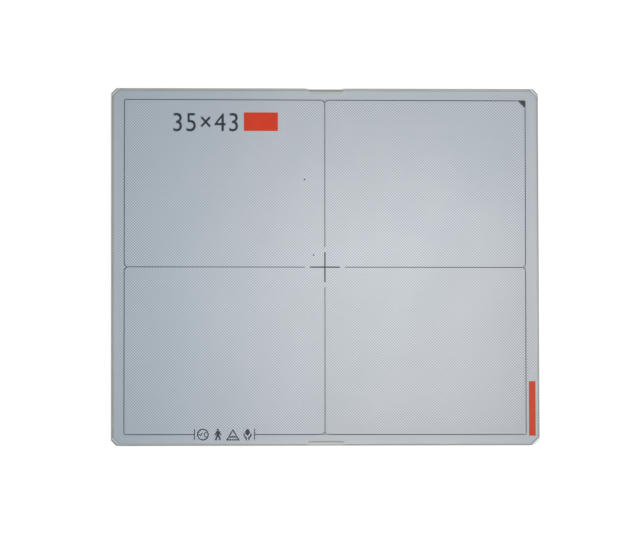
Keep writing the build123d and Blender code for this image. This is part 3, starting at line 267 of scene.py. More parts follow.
hairScratches = {
    "angles": (0.5, 2.2),   # radians, about the upright axis
    "lines": {"detail": 1.0, "roughness": 0.4, "low": 0.66, "high": 0.72, "most": 1.0},
    "patchScale": 16.0,
    "patches": {"detail": 4.0, "roughness": 0.6, "low": 0.48, "high": 0.64, "most": 1.0},
}


# Hairline scratches in two directions, gathered in patches
def buildScratches():
    inlets = [("Place", None), ("Along", 11.0), ("Across", 1500.0), ("Amount", 0.5)]
    group, given, result = startGroup("hairScratches", inlets, ["Scratch"])
    layers = []
    for angle in hairScratches["angles"]:
        turned = addNode(group, "VectorRotate", rotation_type="Z_AXIS")
        wire(group, given["Place"], turned.inputs["Vector"])
        turned.inputs["Angle"].default_value = angle
        stretched = stretchPlace(group, turned.outputs[0], given["Along"], given["Across"])
        lines = cutNoise(group, stretched, 1.0, hairScratches["lines"])
        patches = cutNoise(group, turned.outputs[0], hairScratches["patchScale"], hairScratches["patches"])
        layers.append(calculate(group, "MULTIPLY", lines, patches))
    both = calculate(group, "MAXIMUM", *layers)
    wire(group, calculate(group, "MULTIPLY", both, given["Amount"]), result["Scratch"])
    return group


grainGroup = buildGrain()
wearGroup = buildEdgeWear()
dustGroup = buildDust()
dotGroup = buildDotRows()
brushedGroup = buildBrushed()
scratchGroup = buildScratches()
print("stage 3: shader groups built")


def useGroup(tree, group, place, **values):
    node = tree.nodes.new("ShaderNodeGroup")
    node.node_tree = group
    wire(tree, place, node.inputs["Place"])
    for inletName, value in values.items():
        node.inputs[inletName.replace("_", " ")].default_value = value
    return node.outputs


def useGrain(tree, place, look):
    return useGroup(tree, grainGroup, place, Grain_Scale=look["grainScale"], Cloud_Scale=look["cloudScale"])


# A new material with its shader, and the place on the object that its textures use
def startMaterial(name, roughness, metallic=0.0, **sockets):
    material = bpy.data.materials.new(name)
    material.use_nodes = True
    tree = material.node_tree
    shader = tree.nodes["Principled BSDF"]
    shader.inputs["Roughness"].default_value = roughness
    shader.inputs["Metallic"].default_value = metallic
    for socketName, value in sockets.items():
        shader.inputs[socketName.replace("_", " ")].default_value = value
    return material, tree, shader, objectPlace(tree)


def addBump(tree, shader, height, depth, strength=1.0):
    bump = addNode(tree, "Bump")
    bump.inputs["Strength"].default_value = strength
    bump.inputs["Distance"].default_value = mm(depth)
    wire(tree, height, bump.inputs["Height"])
    wire(tree, bump.outputs[0], shader.inputs["Normal"])


# How much a face looks up: 1 on the flat top, 0 on a wall
def upwardShare(tree):
    return splitAxes(tree, addNode(tree, "TexCoord").outputs["Normal"])[2]


# A second tone over the finished colour, wherever the mask is 1
def overlayTone(material, mask, colour):
    tree = material.node_tree
    inlet = tree.nodes["Principled BSDF"].inputs["Base Color"]
    below = inlet.links[0].from_socket
    wire(tree, mixColours(tree, mask, below, colour), inlet)


# Plan of the whole panel, for whatever follows its rim
panelPlan = {
    "halfLength": 230.0,
    "halfWidth": 192.0,
    "cutLine": 416.0,   # x plus y along the outer face of a corner
}


# How far a point lies in from the nearest straight side
def insetFromSides(tree, axes, plan):
    insets = []
    for axis, half in enumerate(("halfLength", "halfWidth")):
        insets.append(calculate(tree, "SUBTRACT", mm(plan[half]), calculate(tree, "ABSOLUTE", axes[axis])))
    return calculate(tree, "MINIMUM", *insets)


# How far a point lies in from the nearest cut corner
def insetFromCuts(tree, axes, plan):
    across = [calculate(tree, "ABSOLUTE", axes[axis]) for axis in (0, 1)]
    inset = calculate(tree, "SUBTRACT", mm(plan["cutLine"]), calculate(tree, "ADD", *across))
    return calculate(tree, "MULTIPLY", inset, math.sqrt(0.5))   # the cuts run at 45 degrees


# From one value to the other where the distance passes a line, blurred by soft to both sides of it
def softStep(tree, distance, line, before, after, soft=0.15):
    return remap(tree, distance, mm(line - soft), mm(line + soft), before, after)


# 1 between the two distances, with a soft step at each
def band(tree, distance, start, end):
    opens = softStep(tree, distance, start, 0.0, 1.0)
    return calculate(tree, "MULTIPLY", opens, softStep(tree, distance, end, 1.0, 0.0))


wholeSpan = (0.0, 1.0)
noiseSpan = (0.3, 0.7)   # where most values of a noise lie
streakSpan = (0.35, 0.65)   # cut harder, for flecks and streaks
barePolish = 0.15   # bare metal is smoother than its paint by this much
scuffDull = 0.1   # and scuffed plastic is rougher


# Roughness that wanders with a mask to both sides of the look's own value
def varyRoughness(tree, look, mask, span, smoother, rougher):
    return remap(tree, mask, *span, look["roughness"] - smoother, look["roughness"] + rougher)


# Grain and clouds, wear with scratches, and dust, the same on paint and on plastic
def surfaceMarks(tree, place, look):
    grain = useGrain(tree, place, look)
    edges = useGroup(tree, wearGroup, place, Width=mm(look["wearWidth"]), Amount=look["wearAmount"])["Wear"]
    scratches = useGroup(tree, scratchGroup, place, Amount=look["scratches"])["Scratch"]
    dust = useGroup(tree, dustGroup, place, Amount=look["dust"])["Dust"]
    return grain, calculate(tree, "MAXIMUM", edges, scratches), dust


# Painted or anodised castings
def paintedMetal(look):
    material, tree, shader, place = startMaterial(look["name"], look["roughness"])
    grain, wear, dust = surfaceMarks(tree, place, look)
    paint = mixColours(tree, grain["Cloud"], look["colour"], look["shade"])
    fleck = remap(tree, grain["Grain"], *streakSpan, 0.0, look["fleck"])
    paint = mixColours(tree, fleck, paint, look["fleckColour"])
    paint = mixColours(tree, wear, paint, look["bareColour"])
    wire(tree, mixColours(tree, dust, paint, look["dustColour"]), shader.inputs["Base Color"])
    rough = varyRoughness(tree, look, grain["Cloud"], wholeSpan, smoother=0.05, rougher=0.07)
    rough = calculate(tree, "SUBTRACT", rough, calculate(tree, "MULTIPLY", wear, barePolish))
    wire(tree, rough, shader.inputs["Roughness"])
    wire(tree, calculate(tree, "MAXIMUM", wear, look["metallic"]), shader.inputs["Metallic"])
    addBump(tree, shader, grain["Grain"], look["grainDepth"])
    return material


# Moulded plastic with a spark-eroded grain
def mouldedPlastic(look):
    material, tree, shader, place = startMaterial(look["name"], look["roughness"])
    grain, wear, dust = surfaceMarks(tree, place, look)
    body = mixColours(tree, grain["Cloud"], look["colour"], look["shade"])
    body = mixColours(tree, wear, body, look["scuffColour"])
    wire(tree, mixColours(tree, dust, body, look["dustColour"]), shader.inputs["Base Color"])
    rough = varyRoughness(tree, look, grain["Grain"], noiseSpan, smoother=0.06, rougher=0.08)
    rough = calculate(tree, "ADD", rough, calculate(tree, "MULTIPLY", wear, scuffDull))
    wire(tree, rough, shader.inputs["Roughness"])
    addBump(tree, shader, grain["Grain"], look["grainDepth"])
    return material


# Bare metal with the lines of its rolling or turning
def bareMetal(look):
    material, tree, shader, place = startMaterial(look["name"], look["roughness"], 1.0)
    lines = useGroup(tree, brushedGroup, place, Along=look["along"], Across=look["across"])["Lines"]
    grain = useGrain(tree, place, look)
    metal = mixColours(tree, grain["Cloud"], look["colour"], look["shade"])
    streak = remap(tree, lines, *streakSpan, 0.0, look["streak"])
    wire(tree, mixColours(tree, streak, metal, look["streakColour"]), shader.inputs["Base Color"])
    rough = varyRoughness(tree, look, lines, noiseSpan, smoother=0.08, rougher=0.1)
    wire(tree, rough, shader.inputs["Roughness"])
    addBump(tree, shader, lines, look["lineDepth"])
    return material


# Soft rubber and silicone, dull, with a little bloom
def softRubber(look):
    material, tree, shader, place = startMaterial(look["name"], look["roughness"])
    grain = useGrain(tree, place, look)
    bloom = remap(tree, grain["Cloud"], look["bloomStart"], 1.0, 0.0, look["bloom"])
    wire(tree, mixColours(tree, bloom, look["colour"], look["bloomColour"]), shader.inputs["Base Color"])
    rough = varyRoughness(tree, look, grain["Grain"], noiseSpan, smoother=0.05, rougher=0.05)
    wire(tree, rough, shader.inputs["Roughness"])
    addBump(tree, shader, grain["Grain"], look["grainDepth"])
    return material


def dress(material, *nodeNames):
    for nodeName in nodeNames:
        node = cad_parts[nodeName]
        if not node.material_slots:
            node.data.materials.append(material)
        for materialSlot in node.material_slots:
            materialSlot.material = material


# Imaging face, polycarbonate film over small raised dots
filmLook = {
    "name": "texturedFilm",
    "colour": tint(209, 218, 227),
    "shade": tint(203, 212, 221),
    "coolLightTint": tint(205, 219, 232),   # painted cool light, towards the left edge
    "warmLightTint": tint(210, 213, 220),   # painted warm light, towards the lower right corner
    "lightTintShow": 0.9,
    "coolLightSpan": (-40.0, -190.0),   # along x, from none of the painted cool light to all of it
    "warmLightSpan": (60.0, 330.0),   # along x less y
    "dotColour": tint(120, 130, 140),
    "dotShowMiddle": 0.5,   # dots rubbed fainter in the middle than along the rim
    "dotShowRim": 0.85,
    "rimSpan": (15.0, 40.0),   # in from the edge, where the dots change from one to the other
    "dotPitch": 3.015,
    "dotSharpness": 0.42,
    "dotDepth": 0.04,
    "grainShare": 0.3,   # of the dots' height
    "roughness": 0.42,
    "cloudScale": 6.0,
    "grainScale": 3200.0,
    "dust": 0.12,
    "dustColour": tint(214, 214, 208),
}


def filmMaterial(look):
    material, tree, shader, place = startMaterial(look["name"], look["roughness"])
    grain = useGrain(tree, place, look)
    pitch = mm(look["dotPitch"])
    dots = useGroup(tree, dotGroup, place, Pitch=pitch, Sharpness=look["dotSharpness"])["Dots"]
    dust = useGroup(tree, dustGroup, place, Amount=look["dust"])["Dust"]
    ground = mixColours(tree, grain["Cloud"], look["colour"], look["shade"])
    axes = splitAxes(tree, place)
    # Painted light: a cool tint towards the left edge and a warm tint towards the lower right
    coolLight = remap(tree, axes[0], *mm(*look["coolLightSpan"]), 0.0, look["lightTintShow"], smooth=True)
    slant = calculate(tree, "SUBTRACT", axes[0], axes[1])
    warmLight = remap(tree, slant, *mm(*look["warmLightSpan"]), 0.0, look["lightTintShow"], smooth=True)
    ground = mixColours(tree, coolLight, ground, look["coolLightTint"])
    ground = mixColours(tree, warmLight, ground, look["warmLightTint"])
    inset = insetFromSides(tree, axes, panelPlan)
    show = remap(tree, inset, *mm(*look["rimSpan"]), look["dotShowRim"], look["dotShowMiddle"], smooth=True)
    offset = calculate(tree, "MULTIPLY", calculate(tree, "SUBTRACT", dots, 0.5), show)
    ground = mixColours(tree, calculate(tree, "ADD", offset, 0.5), ground, look["dotColour"])
    wire(tree, mixColours(tree, dust, ground, look["dustColour"]), shader.inputs["Base Color"])
    rough = varyRoughness(tree, look, grain["Cloud"], wholeSpan, smoother=0.03, rougher=0.05)
    wire(tree, rough, shader.inputs["Roughness"])
    height = calculate(tree, "ADD", dots, calculate(tree, "MULTIPLY", grain["Grain"], look["grainShare"]))
    addBump(tree, shader, height, look["dotDepth"])
    return material


dress(filmMaterial(filmLook), "front_film")

# Side frame, one casting, light grey paint, rubbed through along its edges
sideFrameLook = {
    "name": "framePaint",
    "colour": tint(163, 167, 165),
    "shade": tint(155, 159, 157),
    "fleckColour": tint(184, 187, 185),
    "fleck": 0.3,
    "bareColour": tint(205, 207, 208),
    "dustColour": tint(214, 212, 205),
    "dust": 0.1,
    "metallic": 0.25,
    "roughness": 0.46,
    "grainScale": 1500.0,
    "grainDepth": 0.012,
    "cloudScale": 16.0,
    "wearWidth": 0.45,
    "wearAmount": 0.5,
    "scratches": 0.3,
    "shadeLineColour": tint(124, 130, 131),
    "landShade": 0.74,
    "scoopShade": 0.85,
    "scoopHighlightColour": tint(198, 202, 200),
    "nearHighlight": 0.75,
    "farHighlight": 0.3,
    "cornerLine": 3.7,   # in from the cut corners
    "farLine": (189.15, 190.1),   # along y
    "nearLine": (-191.6, -190.7),
    "leftLine": (-228.4, -227.5),   # along x
    "rightLine": (227.8, 228.8),
    "upperLine": (188.7, 190.3),   # along y, across the scoops
    "lowerLine": (-188.5, -187.2),
    "upperHalf": 18.0,   # the upper line shows this far to both sides of the middle
    "upperSoft": 0.5,
    "scoopHighlightSoft": 1.0,
    "landFacing": (0.5, 0.7),   # how far up a face looks, from the walls to the flat land
    "scoopStart": (0.80, 0.86),   # the sloped floors of the scoops look up by more than this
    "scoopEnd": (0.96, 0.985),   # and by less than this
}


# Painted shade in a line round the land and in a line across each scoop, and a painted highlight on the
# scoops' sloped floors, stronger on the near side
def sideFrameMaterial(look):
    material = paintedMetal(look)
    tree = material.node_tree
    facing = upwardShare(tree)
    axes = splitAxes(tree, objectPlace(tree))
    line = softStep(tree, insetFromCuts(tree, axes, panelPlan), look["cornerLine"], 1.0, 0.0)
    for axis, name in ((1, "farLine"), (1, "nearLine"), (0, "leftLine"), (0, "rightLine")):
        line = calculate(tree, "MAXIMUM", line, band(tree, axes[axis], *look[name]))
    # Painted shade: a dark line on the land where the seam and the outer edges lie in shadow
    landShade = calculate(tree, "MULTIPLY", line, remap(tree, facing, *look["landFacing"], 0.0, look["landShade"]))
    overlayTone(material, landShade, look["shadeLineColour"])
    # Painted highlight on the scoops' sloped floors, stronger on the near side where the light falls
    scoop = calculate(tree, "MULTIPLY", remap(tree, facing, *look["scoopStart"], 0.0, 1.0),
                      remap(tree, facing, *look["scoopEnd"], 1.0, 0.0))
    scoopHighlight = softStep(tree, axes[1], 0.0, look["nearHighlight"], look["farHighlight"], look["scoopHighlightSoft"])
    overlayTone(material, calculate(tree, "MULTIPLY", scoop, scoopHighlight), look["scoopHighlightColour"])
    fromMiddle = calculate(tree, "ABSOLUTE", axes[0])
    along = softStep(tree, fromMiddle, look["upperHalf"], 1.0, 0.0, look["upperSoft"])
    # Painted shade in a line across each scoop, where its edge lies in shadow
    lines = calculate(tree, "MULTIPLY", along, band(tree, axes[1], *look["upperLine"]))
    lines = calculate(tree, "MAXIMUM", lines, band(tree, axes[1], *look["lowerLine"]))
    lines = calculate(tree, "MULTIPLY", calculate(tree, "MULTIPLY", lines, scoop), look["scoopShade"])
    overlayTone(material, lines, look["shadeLineColour"])
    return material


dress(sideFrameMaterial(sideFrameLook), "side_frame")

# Corner guards, tough plastic, near white along the top for a painted highlight there, with painted shade
# in a dark line along the outer bevel and another along the seam
guardLook = {
    "name": "guardPlastic",
    "colour": tint(242, 246, 245),
    "shade": tint(236, 241, 240),
    "scuffColour": tint(170, 173, 172),
    "dustColour": tint(200, 198, 190),
    "dust": 0.1,
    "roughness": 0.5,
    "grainScale": 2600.0,
    "grainDepth": 0.02,
    "cloudScale": 60.0,
    "wearWidth": 0.5,
    "wearAmount": 0.35,
    "scratches": 0.2,
    "guardShadeColour": tint(84, 91, 93),
    "outerShadeShow": 0.95,
    "seamShadeShow": 0.9,
    "shadeSoft": 0.12,
    "stripStart": 1.35,   # from the outer face inwards
    "stripEnd": 2.5,
}
# The lower right one lies on the lit side, so its outer edge has no painted shade
litSideGuardLook = dict(guardLook, name="litSideGuardPlastic", outerShadeShow=0.0, stripEnd=2.3)


def guardMaterial(look):
    material = mouldedPlastic(look)
    tree = material.node_tree
    inset = insetFromCuts(tree, splitAxes(tree, objectPlace(tree)), panelPlan)
    # Painted shade along the outer bevel and along the seam to the frame
    outerShade = softStep(tree, inset, look["stripStart"], look["outerShadeShow"], 0.0, look["shadeSoft"])
    seamShade = softStep(tree, inset, look["stripEnd"], 0.0, look["seamShadeShow"], look["shadeSoft"])
    overlayTone(material, calculate(tree, "MAXIMUM", outerShade, seamShade), look["guardShadeColour"])
    return material


dress(guardMaterial(guardLook), "corner_guard_left_top", "corner_guard_right_top",
      "corner_guard_left_bottom")
dress(guardMaterial(litSideGuardLook), "corner_guard_right_bottom")

# Rear cover, coarser paint, a shade darker than the frame
rearCoverLook = {
    "name": "rearPaint",
    "colour": tint(158, 163, 166),
    "shade": tint(149, 154, 158),
    "fleckColour": tint(182, 186, 188),
    "fleck": 0.5,
    "bareColour": tint(200, 202, 204),
    "dustColour": tint(205, 203, 196),
    "dust": 0.06,
    "metallic": 0.1,
    "roughness": 0.56,
    "grainScale": 1100.0,
    "grainDepth": 0.03,
    "cloudScale": 11.0,
    "wearWidth": 0.5,
    "wearAmount": 0.7,
    "scratches": 0.42,
    "rimHighlightColour": tint(226, 229, 228),
    "rimHighlight": 0.9,
    "rimHighlightHalf": 22.0,   # to both sides of the middle
    "rimHighlightFade": 3.0,
    "rimHighlightLine": -190.6,   # along y
    "rimHighlightSoft": 0.2,
    "rimHighlightHeights": (3.0, 3.4),   # from where the painted highlight starts to where it is full
}


# The cover's rim shows under the near scoop, painted pale there as a highlight where the light falls on it
def rearCoverMaterial(look):
    material = paintedMetal(look)
    tree = material.node_tree
    axes = splitAxes(tree, objectPlace(tree))
    fromMiddle = calculate(tree, "ABSOLUTE", axes[0])
    along = remap(tree, fromMiddle, mm(look["rimHighlightHalf"] - look["rimHighlightFade"]), mm(look["rimHighlightHalf"]), 1.0, 0.0)
    outside = softStep(tree, axes[1], look["rimHighlightLine"], 1.0, 0.0, look["rimHighlightSoft"])
    above = remap(tree, axes[2], *mm(*look["rimHighlightHeights"]), 0.0, look["rimHighlight"])
    litRim = calculate(tree, "MULTIPLY", calculate(tree, "MULTIPLY", along, outside), above)
    overlayTone(material, litRim, look["rimHighlightColour"])
    return material


dress(rearCoverMaterial(rearCoverLook), "rear_cover")

# Screws, turned stainless steel
screwLook = {
    "name": "screwSteel",
    "colour": tint(158, 160, 163),
    "shade": tint(124, 126, 130),
    "streakColour": tint(190, 192, 195),
    "streak": 0.4,
    "roughness": 0.38,
    "along": 3000.0,
    "across": 3000.0,
    "lineDepth": 0.006,
    "grainScale": 2500.0,
    "cloudScale": 260.0,
}
dress(bareMetal(screwLook), "rear_screws", "base_screws", "board_screws")

# Gasket and washers, black rubber
gasketLook = {
    "name": "gasketRubber",
    "colour": tint(38, 39, 41),
    "bloomColour": tint(92, 92, 92),
    "bloomStart": 0.3,
    "bloom": 0.25,
    "roughness": 0.78,
    "grainScale": 2200.0,
    "grainDepth": 0.02,
    "cloudScale": 90.0,
}
dress(softRubber(gasketLook), "rear_gasket", "isolation_washers")

# Thermal pad, filled silicone
thermalPadLook = {
    "name": "thermalSilicone",
    "colour": tint(150, 176, 196),
    "bloomColour": tint(196, 208, 216),
    "bloomStart": 0.3,
    "bloom": 0.4,
    "roughness": 0.7,
    "grainScale": 3000.0,
    "grainDepth": 0.02,
    "cloudScale": 120.0,
}
dress(softRubber(thermalPadLook), "thermal_pad")

# Battery, graphite plastic, handled a lot
batteryLook = {
    "name": "batteryPlastic",
    "colour": tint(74, 78, 82),
    "shade": tint(66, 70, 74),
    "scuffColour": tint(128, 130, 132),
    "dustColour": tint(176, 174, 168),
    "dust": 0.06,
    "roughness": 0.55,
    "grainScale": 1900.0,
    "grainDepth": 0.03,
    "cloudScale": 18.0,
    "wearWidth": 0.5,
    "wearAmount": 0.6,
    "scratches": 0.38,
}
dress(mouldedPlastic(batteryLook), "battery_case", "battery_lid")

# Latches, the battery's kind of plastic in a finer grain and a darker tone
latchLook = {
    "name": "latchPlastic",
    "colour": tint(46, 49, 52),
    "shade": tint(40, 43, 46),
    "scuffColour": tint(120, 122, 124),
    "dustColour": tint(170, 168, 162),
    "dust": 0.06,
    "roughness": 0.48,
    "grainScale": 2400.0,
    "grainDepth": 0.025,
    "cloudScale": 70.0,
    "wearWidth": 0.4,
    "wearAmount": 0.75,
    "scratches": 0.4,
    "ribTop": 0.46,   # height under which only the grip ribs reach
    "ribSoft": 0.05,
    "ribShow": 0.55,
    "ribColour": tint(96, 99, 102),
}


# Thumbs have rubbed the grip ribs pale
def latchMaterial(look):
    material = mouldedPlastic(look)
    tree = material.node_tree
    height = splitAxes(tree, objectPlace(tree))[2]
    low, high = mm(look["ribTop"] - look["ribSoft"], look["ribTop"])
    ribs = remap(tree, height, low, high, look["ribShow"], 0.0)
    overlayTone(material, ribs, look["ribColour"])
    return material


dress(latchMaterial(latchLook), "latch_left", "latch_right")

# Power button, pale plastic, polished by thumbs
buttonLook = {
    "name": "buttonPlastic",
    "colour": tint(206, 210, 211),
    "shade": tint(198, 203, 204),
    "scuffColour": tint(230, 231, 230),
    "dustColour": tint(190, 188, 180),
    "dust": 0.05,
    "roughness": 0.34,
    "grainScale": 3000.0,
    "grainDepth": 0.01,
    "cloudScale": 120.0,
    "wearWidth": 0.4,
    "wearAmount": 0.5,
    "scratches": 0.2,
}
dress(mouldedPlastic(buttonLook), "power_button", "switch_plunger")

# Radio windows, plastic tinted to the frame's paint, a shade darker
radioWindowLook = {
    "name": "radioWindowPlastic",
    "colour": tint(128, 133, 137),
    "shade": tint(120, 125, 129),
    "scuffColour": tint(170, 172, 174),
    "dustColour": tint(200, 198, 190),
    "dust": 0.05,
    "roughness": 0.52,
    "grainScale": 2600.0,
    "grainDepth": 0.02,
    "cloudScale": 80.0,
    "wearWidth": 0.3,
    "wearAmount": 0.4,
    "scratches": 0.25,
}
dress(mouldedPlastic(radioWindowLook), "radio_window_side", "radio_window_top")

# Small black mouldings, contact block, tact switch, chips
blackPartLook = {
    "name": "blackMoulding",
    "colour": tint(34, 35, 37),
    "shade": tint(28, 29, 31),
    "scuffColour": tint(86, 87, 88),
    "dustColour": tint(150, 148, 142),
    "dust": 0.05,
    "roughness": 0.42,
    "grainScale": 3600.0,
    "grainDepth": 0.012,
    "cloudScale": 200.0,
    "wearWidth": 0.2,
    "wearAmount": 0.3,
    "scratches": 0.1,
}
dress(mouldedPlastic(blackPartLook), "bay_contact_block", "tact_switch", "readout_chips", "gate_chips",
      "board_chips", "processor")

# Tether socket, satin steel shell
socketLook = {
    "name": "socketSteel",
    "colour": tint(188, 190, 192),
    "shade": tint(160, 162, 165),
    "streakColour": tint(222, 223, 224),
    "streak": 0.35,
    "roughness": 0.3,
    "along": 300.0,
    "across": 5000.0,
    "lineDepth": 0.006,
    "grainScale": 2500.0,
    "cloudScale": 120.0,
}
dress(bareMetal(socketLook), "tether_shell")

# Shield cans, tinned steel
canLook = {
    "name": "tinnedSteel",
    "colour": tint(196, 196, 190),
    "shade": tint(170, 170, 164),
    "streakColour": tint(214, 213, 206),
    "streak": 0.3,
    "roughness": 0.36,
    "along": 120.0,
    "across": 2600.0,
    "lineDepth": 0.008,
    "grainScale": 2000.0,
    "cloudScale": 90.0,
}
dress(bareMetal(canLook), "shield_cans")

# Contacts, gilt, rubbed by the mating part
contactLook = {
    "name": "giltContact",
    "colour": tint(232, 190, 104),
    "shade": tint(206, 160, 78),
    "streakColour": tint(246, 216, 150),
    "streak": 0.45,
    "roughness": 0.24,
    "along": 400.0,
    "across": 6000.0,
    "lineDepth": 0.004,
    "grainScale": 3000.0,
    "cloudScale": 400.0,
}
dress(bareMetal(contactLook), "tether_contacts", "bay_contact_pins", "battery_pads")

# Base plate, milled magnesium casting
basePlateLook = {
    "name": "milledMagnesium",
    "colour": tint(170, 172, 172),
    "shade": tint(150, 152, 153),
    "streakColour": tint(196, 198, 198),
    "streak": 0.5,
    "roughness": 0.42,
    "along": 60.0,
    "across": 1400.0,
    "lineDepth": 0.015,
    "grainScale": 1200.0,
    "cloudScale": 20.0,
}
dress(bareMetal(basePlateLook), "base_plate")

# Lead sheet, dull, soft and scratched
leadLook = {
    "name": "dullLead",
    "colour": tint(112, 116, 122),
    "shade": tint(92, 96, 102),
    "streakColour": tint(146, 150, 156),
    "streak": 0.35,
    "roughness": 0.62,
    "along": 25.0,
    "across": 700.0,
    "lineDepth": 0.01,
    "grainScale": 900.0,
    "cloudScale": 14.0,
}
dress(bareMetal(leadLook), "lead_sheet")

# Cells, wrinkled aluminium pouch
cellLook = {
    "name": "pouchFoil",
    "colour": tint(196, 198, 200),
    "shade": tint(176, 178, 182),
    "streakColour": tint(224, 225, 226),
    "streak": 0.3,
    "roughness": 0.38,
    "along": 90.0,
    "across": 130.0,
    "lineDepth": 0.12,
    "grainScale": 500.0,
    "cloudScale": 30.0,
}
dress(bareMetal(cellLook), "battery_cells")

# Front plate, carbon fibre in a plain weave under clear resin
carbonLook = {
    "name": "carbonWeave",
    "warpColour": tint(46, 48, 51),
    "weftColour": tint(26, 27, 29),
    "towWidth": 2.0,
    "towDepth": 0.06,
    "towStrength": 0.5,
    "along": 200.0,
    "across": 6000.0,
    "fibreShow": 0.35,
    "roughness": 0.36,
    "coat": 0.5,
    "coatRoughness": 0.12,
}


def carbonMaterial(look):
    material, tree, shader, place = startMaterial(
        look["name"], look["roughness"], Coat_Weight=look["coat"], Coat_Roughness=look["coatRoughness"])
    squares = addNode(tree, "TexChecker")
    wire(tree, place, squares.inputs["Vector"])
    squares.inputs["Scale"].default_value = 1 / mm(look["towWidth"])
    fibre = useGroup(tree, brushedGroup, place, Along=look["along"], Across=look["across"])["Lines"]
    tow = mixColours(tree, squares.outputs["Fac"], look["warpColour"], look["weftColour"])
    shine = remap(tree, fibre, *noiseSpan, 0.0, look["fibreShow"])
    wire(tree, mixColours(tree, shine, tow, look["warpColour"]), shader.inputs["Base Color"])
    rough = varyRoughness(tree, look, squares.outputs["Fac"], wholeSpan, smoother=0.08, rougher=0.08)
    wire(tree, rough, shader.inputs["Roughness"])
    addBump(tree, shader, squares.outputs["Fac"], look["towDepth"], look["towStrength"])
    return material


dress(carbonMaterial(carbonLook), "front_plate")

# Circuit boards, solder mask over rows of traces, with gilt pads between them
boardLook = {
    "name": "circuitBoard",
    "maskColour": tint(24, 74, 52),
    "traceColour": tint(44, 106, 74),
    "padColour": tint(206, 168, 96),
    "traceWidth": 1.6,
    "traceLength": 7,   # in widths
    "gapWidth": 0.14,   # in widths too
    "traceShift": 0.37,   # of each row against the next
    "stretch": 1.6,   # of one row in so many
    "stretchEvery": 3,
    "traceDepth": 0.02,
    "padScale": 320.0,
    "padEdge": (0.13, 0.17),
    "padMetallic": 0.9,
    "padRoughness": 0.24,
    "roughness": 0.32,
}


def boardMaterial(look):
    material, tree, shader, place = startMaterial(look["name"], look["roughness"])
    width = mm(look["traceWidth"])
    bricks = addNode(tree, "TexBrick", offset=look["traceShift"], squash=look["stretch"],
                     squash_frequency=look["stretchEvery"])
    wire(tree, place, bricks.inputs["Vector"])
    bricks.inputs["Scale"].default_value = 1.0
    bricks.inputs["Brick Width"].default_value = width * look["traceLength"]
    bricks.inputs["Row Height"].default_value = width
    bricks.inputs["Mortar Size"].default_value = width * look["gapWidth"]
    cells = addNode(tree, "TexVoronoi")
    wire(tree, place, cells.inputs["Vector"])
    cells.inputs["Scale"].default_value = look["padScale"]
    pads = remap(tree, cells.outputs["Distance"], *look["padEdge"], 1.0, 0.0)
    mask = mixColours(tree, bricks.outputs["Fac"], look["maskColour"], look["traceColour"])
    wire(tree, mixColours(tree, pads, mask, look["padColour"]), shader.inputs["Base Color"])
    wire(tree, calculate(tree, "MULTIPLY", pads, look["padMetallic"]), shader.inputs["Metallic"])
    rough = remap(tree, pads, *wholeSpan, look["roughness"], look["padRoughness"])
    wire(tree, rough, shader.inputs["Roughness"])
    addBump(tree, shader, calculate(tree, "MAXIMUM", bricks.outputs["Fac"], pads), look["traceDepth"])
    return material


dress(boardMaterial(boardLook), "readout_board_left", "readout_board_right", "gate_board", "power_board",
      "main_board", "radio_board", "control_board", "battery_board")

# Film circuits, amber film with copper lines along it
circuitFilmLook = {
    "name": "amberFilm",
    "filmColour": tint(176, 104, 28),
    "copperColour": tint(206, 142, 70),
    "lineScale": 400.0,
    "lineEdge": (0.45, 0.6),
    "lineMetallic": 0.6,
    "lineDepth": 0.01,
    "grainScale": 2400.0,
    "cloudScale": 60.0,
    "cloudShow": 0.3,
    "roughness": 0.28,
}


def circuitFilmMaterial(look, lineAxis):
    material, tree, shader, place = startMaterial(look["name"] + lineAxis, look["roughness"])
    bands = addNode(tree, "TexWave", wave_type="BANDS", bands_direction=lineAxis, wave_profile="SIN")
    wire(tree, place, bands.inputs["Vector"])
    bands.inputs["Scale"].default_value = look["lineScale"]
    lines = remap(tree, bands.outputs["Fac"], *look["lineEdge"], 0.0, 1.0)
    grain = useGrain(tree, place, look)
    cloud = calculate(tree, "MULTIPLY", grain["Cloud"], look["cloudShow"])
    film = mixColours(tree, cloud, look["filmColour"], look["copperColour"])
    wire(tree, mixColours(tree, lines, film, look["copperColour"]), shader.inputs["Base Color"])
    wire(tree, calculate(tree, "MULTIPLY", lines, look["lineMetallic"]), shader.inputs["Metallic"])
    addBump(tree, shader, lines, look["lineDepth"])
    return material


dress(circuitFilmMaterial(circuitFilmLook, "X"), "readout_flexes")
dress(circuitFilmMaterial(circuitFilmLook, "Y"), "gate_flexes", "link_flexes", "side_links")

# Antennas, white laminate with a copper pattern
antennaLook = {
    "name": "antennaLaminate",
    "laminateColour": tint(222, 222, 214),
    "copperColour": tint(198, 128, 76),
    "stripScale": 90.0,
    "stripShift": 0.5,
    "stripMetallic": 0.9,
    "stripDepth": 0.02,
    "roughness": 0.4,
}


def antennaMaterial(look):
    material, tree, shader, place = startMaterial(look["name"], look["roughness"])
    bricks = addNode(tree, "TexBrick", offset=look["stripShift"])
    wire(tree, place, bricks.inputs["Vector"])
    bricks.inputs["Scale"].default_value = look["stripScale"]
    strip = bricks.outputs["Fac"]
    colour = mixColours(tree, strip, look["laminateColour"], look["copperColour"])
    wire(tree, colour, shader.inputs["Base Color"])
    wire(tree, calculate(tree, "MULTIPLY", strip, look["stripMetallic"]), shader.inputs["Metallic"])
    addBump(tree, shader, strip, look["stripDepth"])
    return material


dress(antennaMaterial(antennaLook), "antennas")

# Scintillator and foam, both made of small cells, one fine and pale, one open and dark
scintillatorLook = {
    "name": "crystalLayer",
    "cellColour": tint(236, 236, 224),
    "gapColour": tint(214, 216, 206),
    "cellScale": 1400.0,
    "cellEdge": (0.1, 0.7),
    "cellDepth": 0.01,
    "roughness": 0.6,
}
foamLook = {
    "name": "openFoam",
    "cellColour": tint(72, 74, 76),
    "gapColour": tint(36, 37, 38),
    "cellScale": 900.0,
    "cellEdge": (0.1, 0.7),
    "cellDepth": 0.2,
    "roughness": 0.9,
}


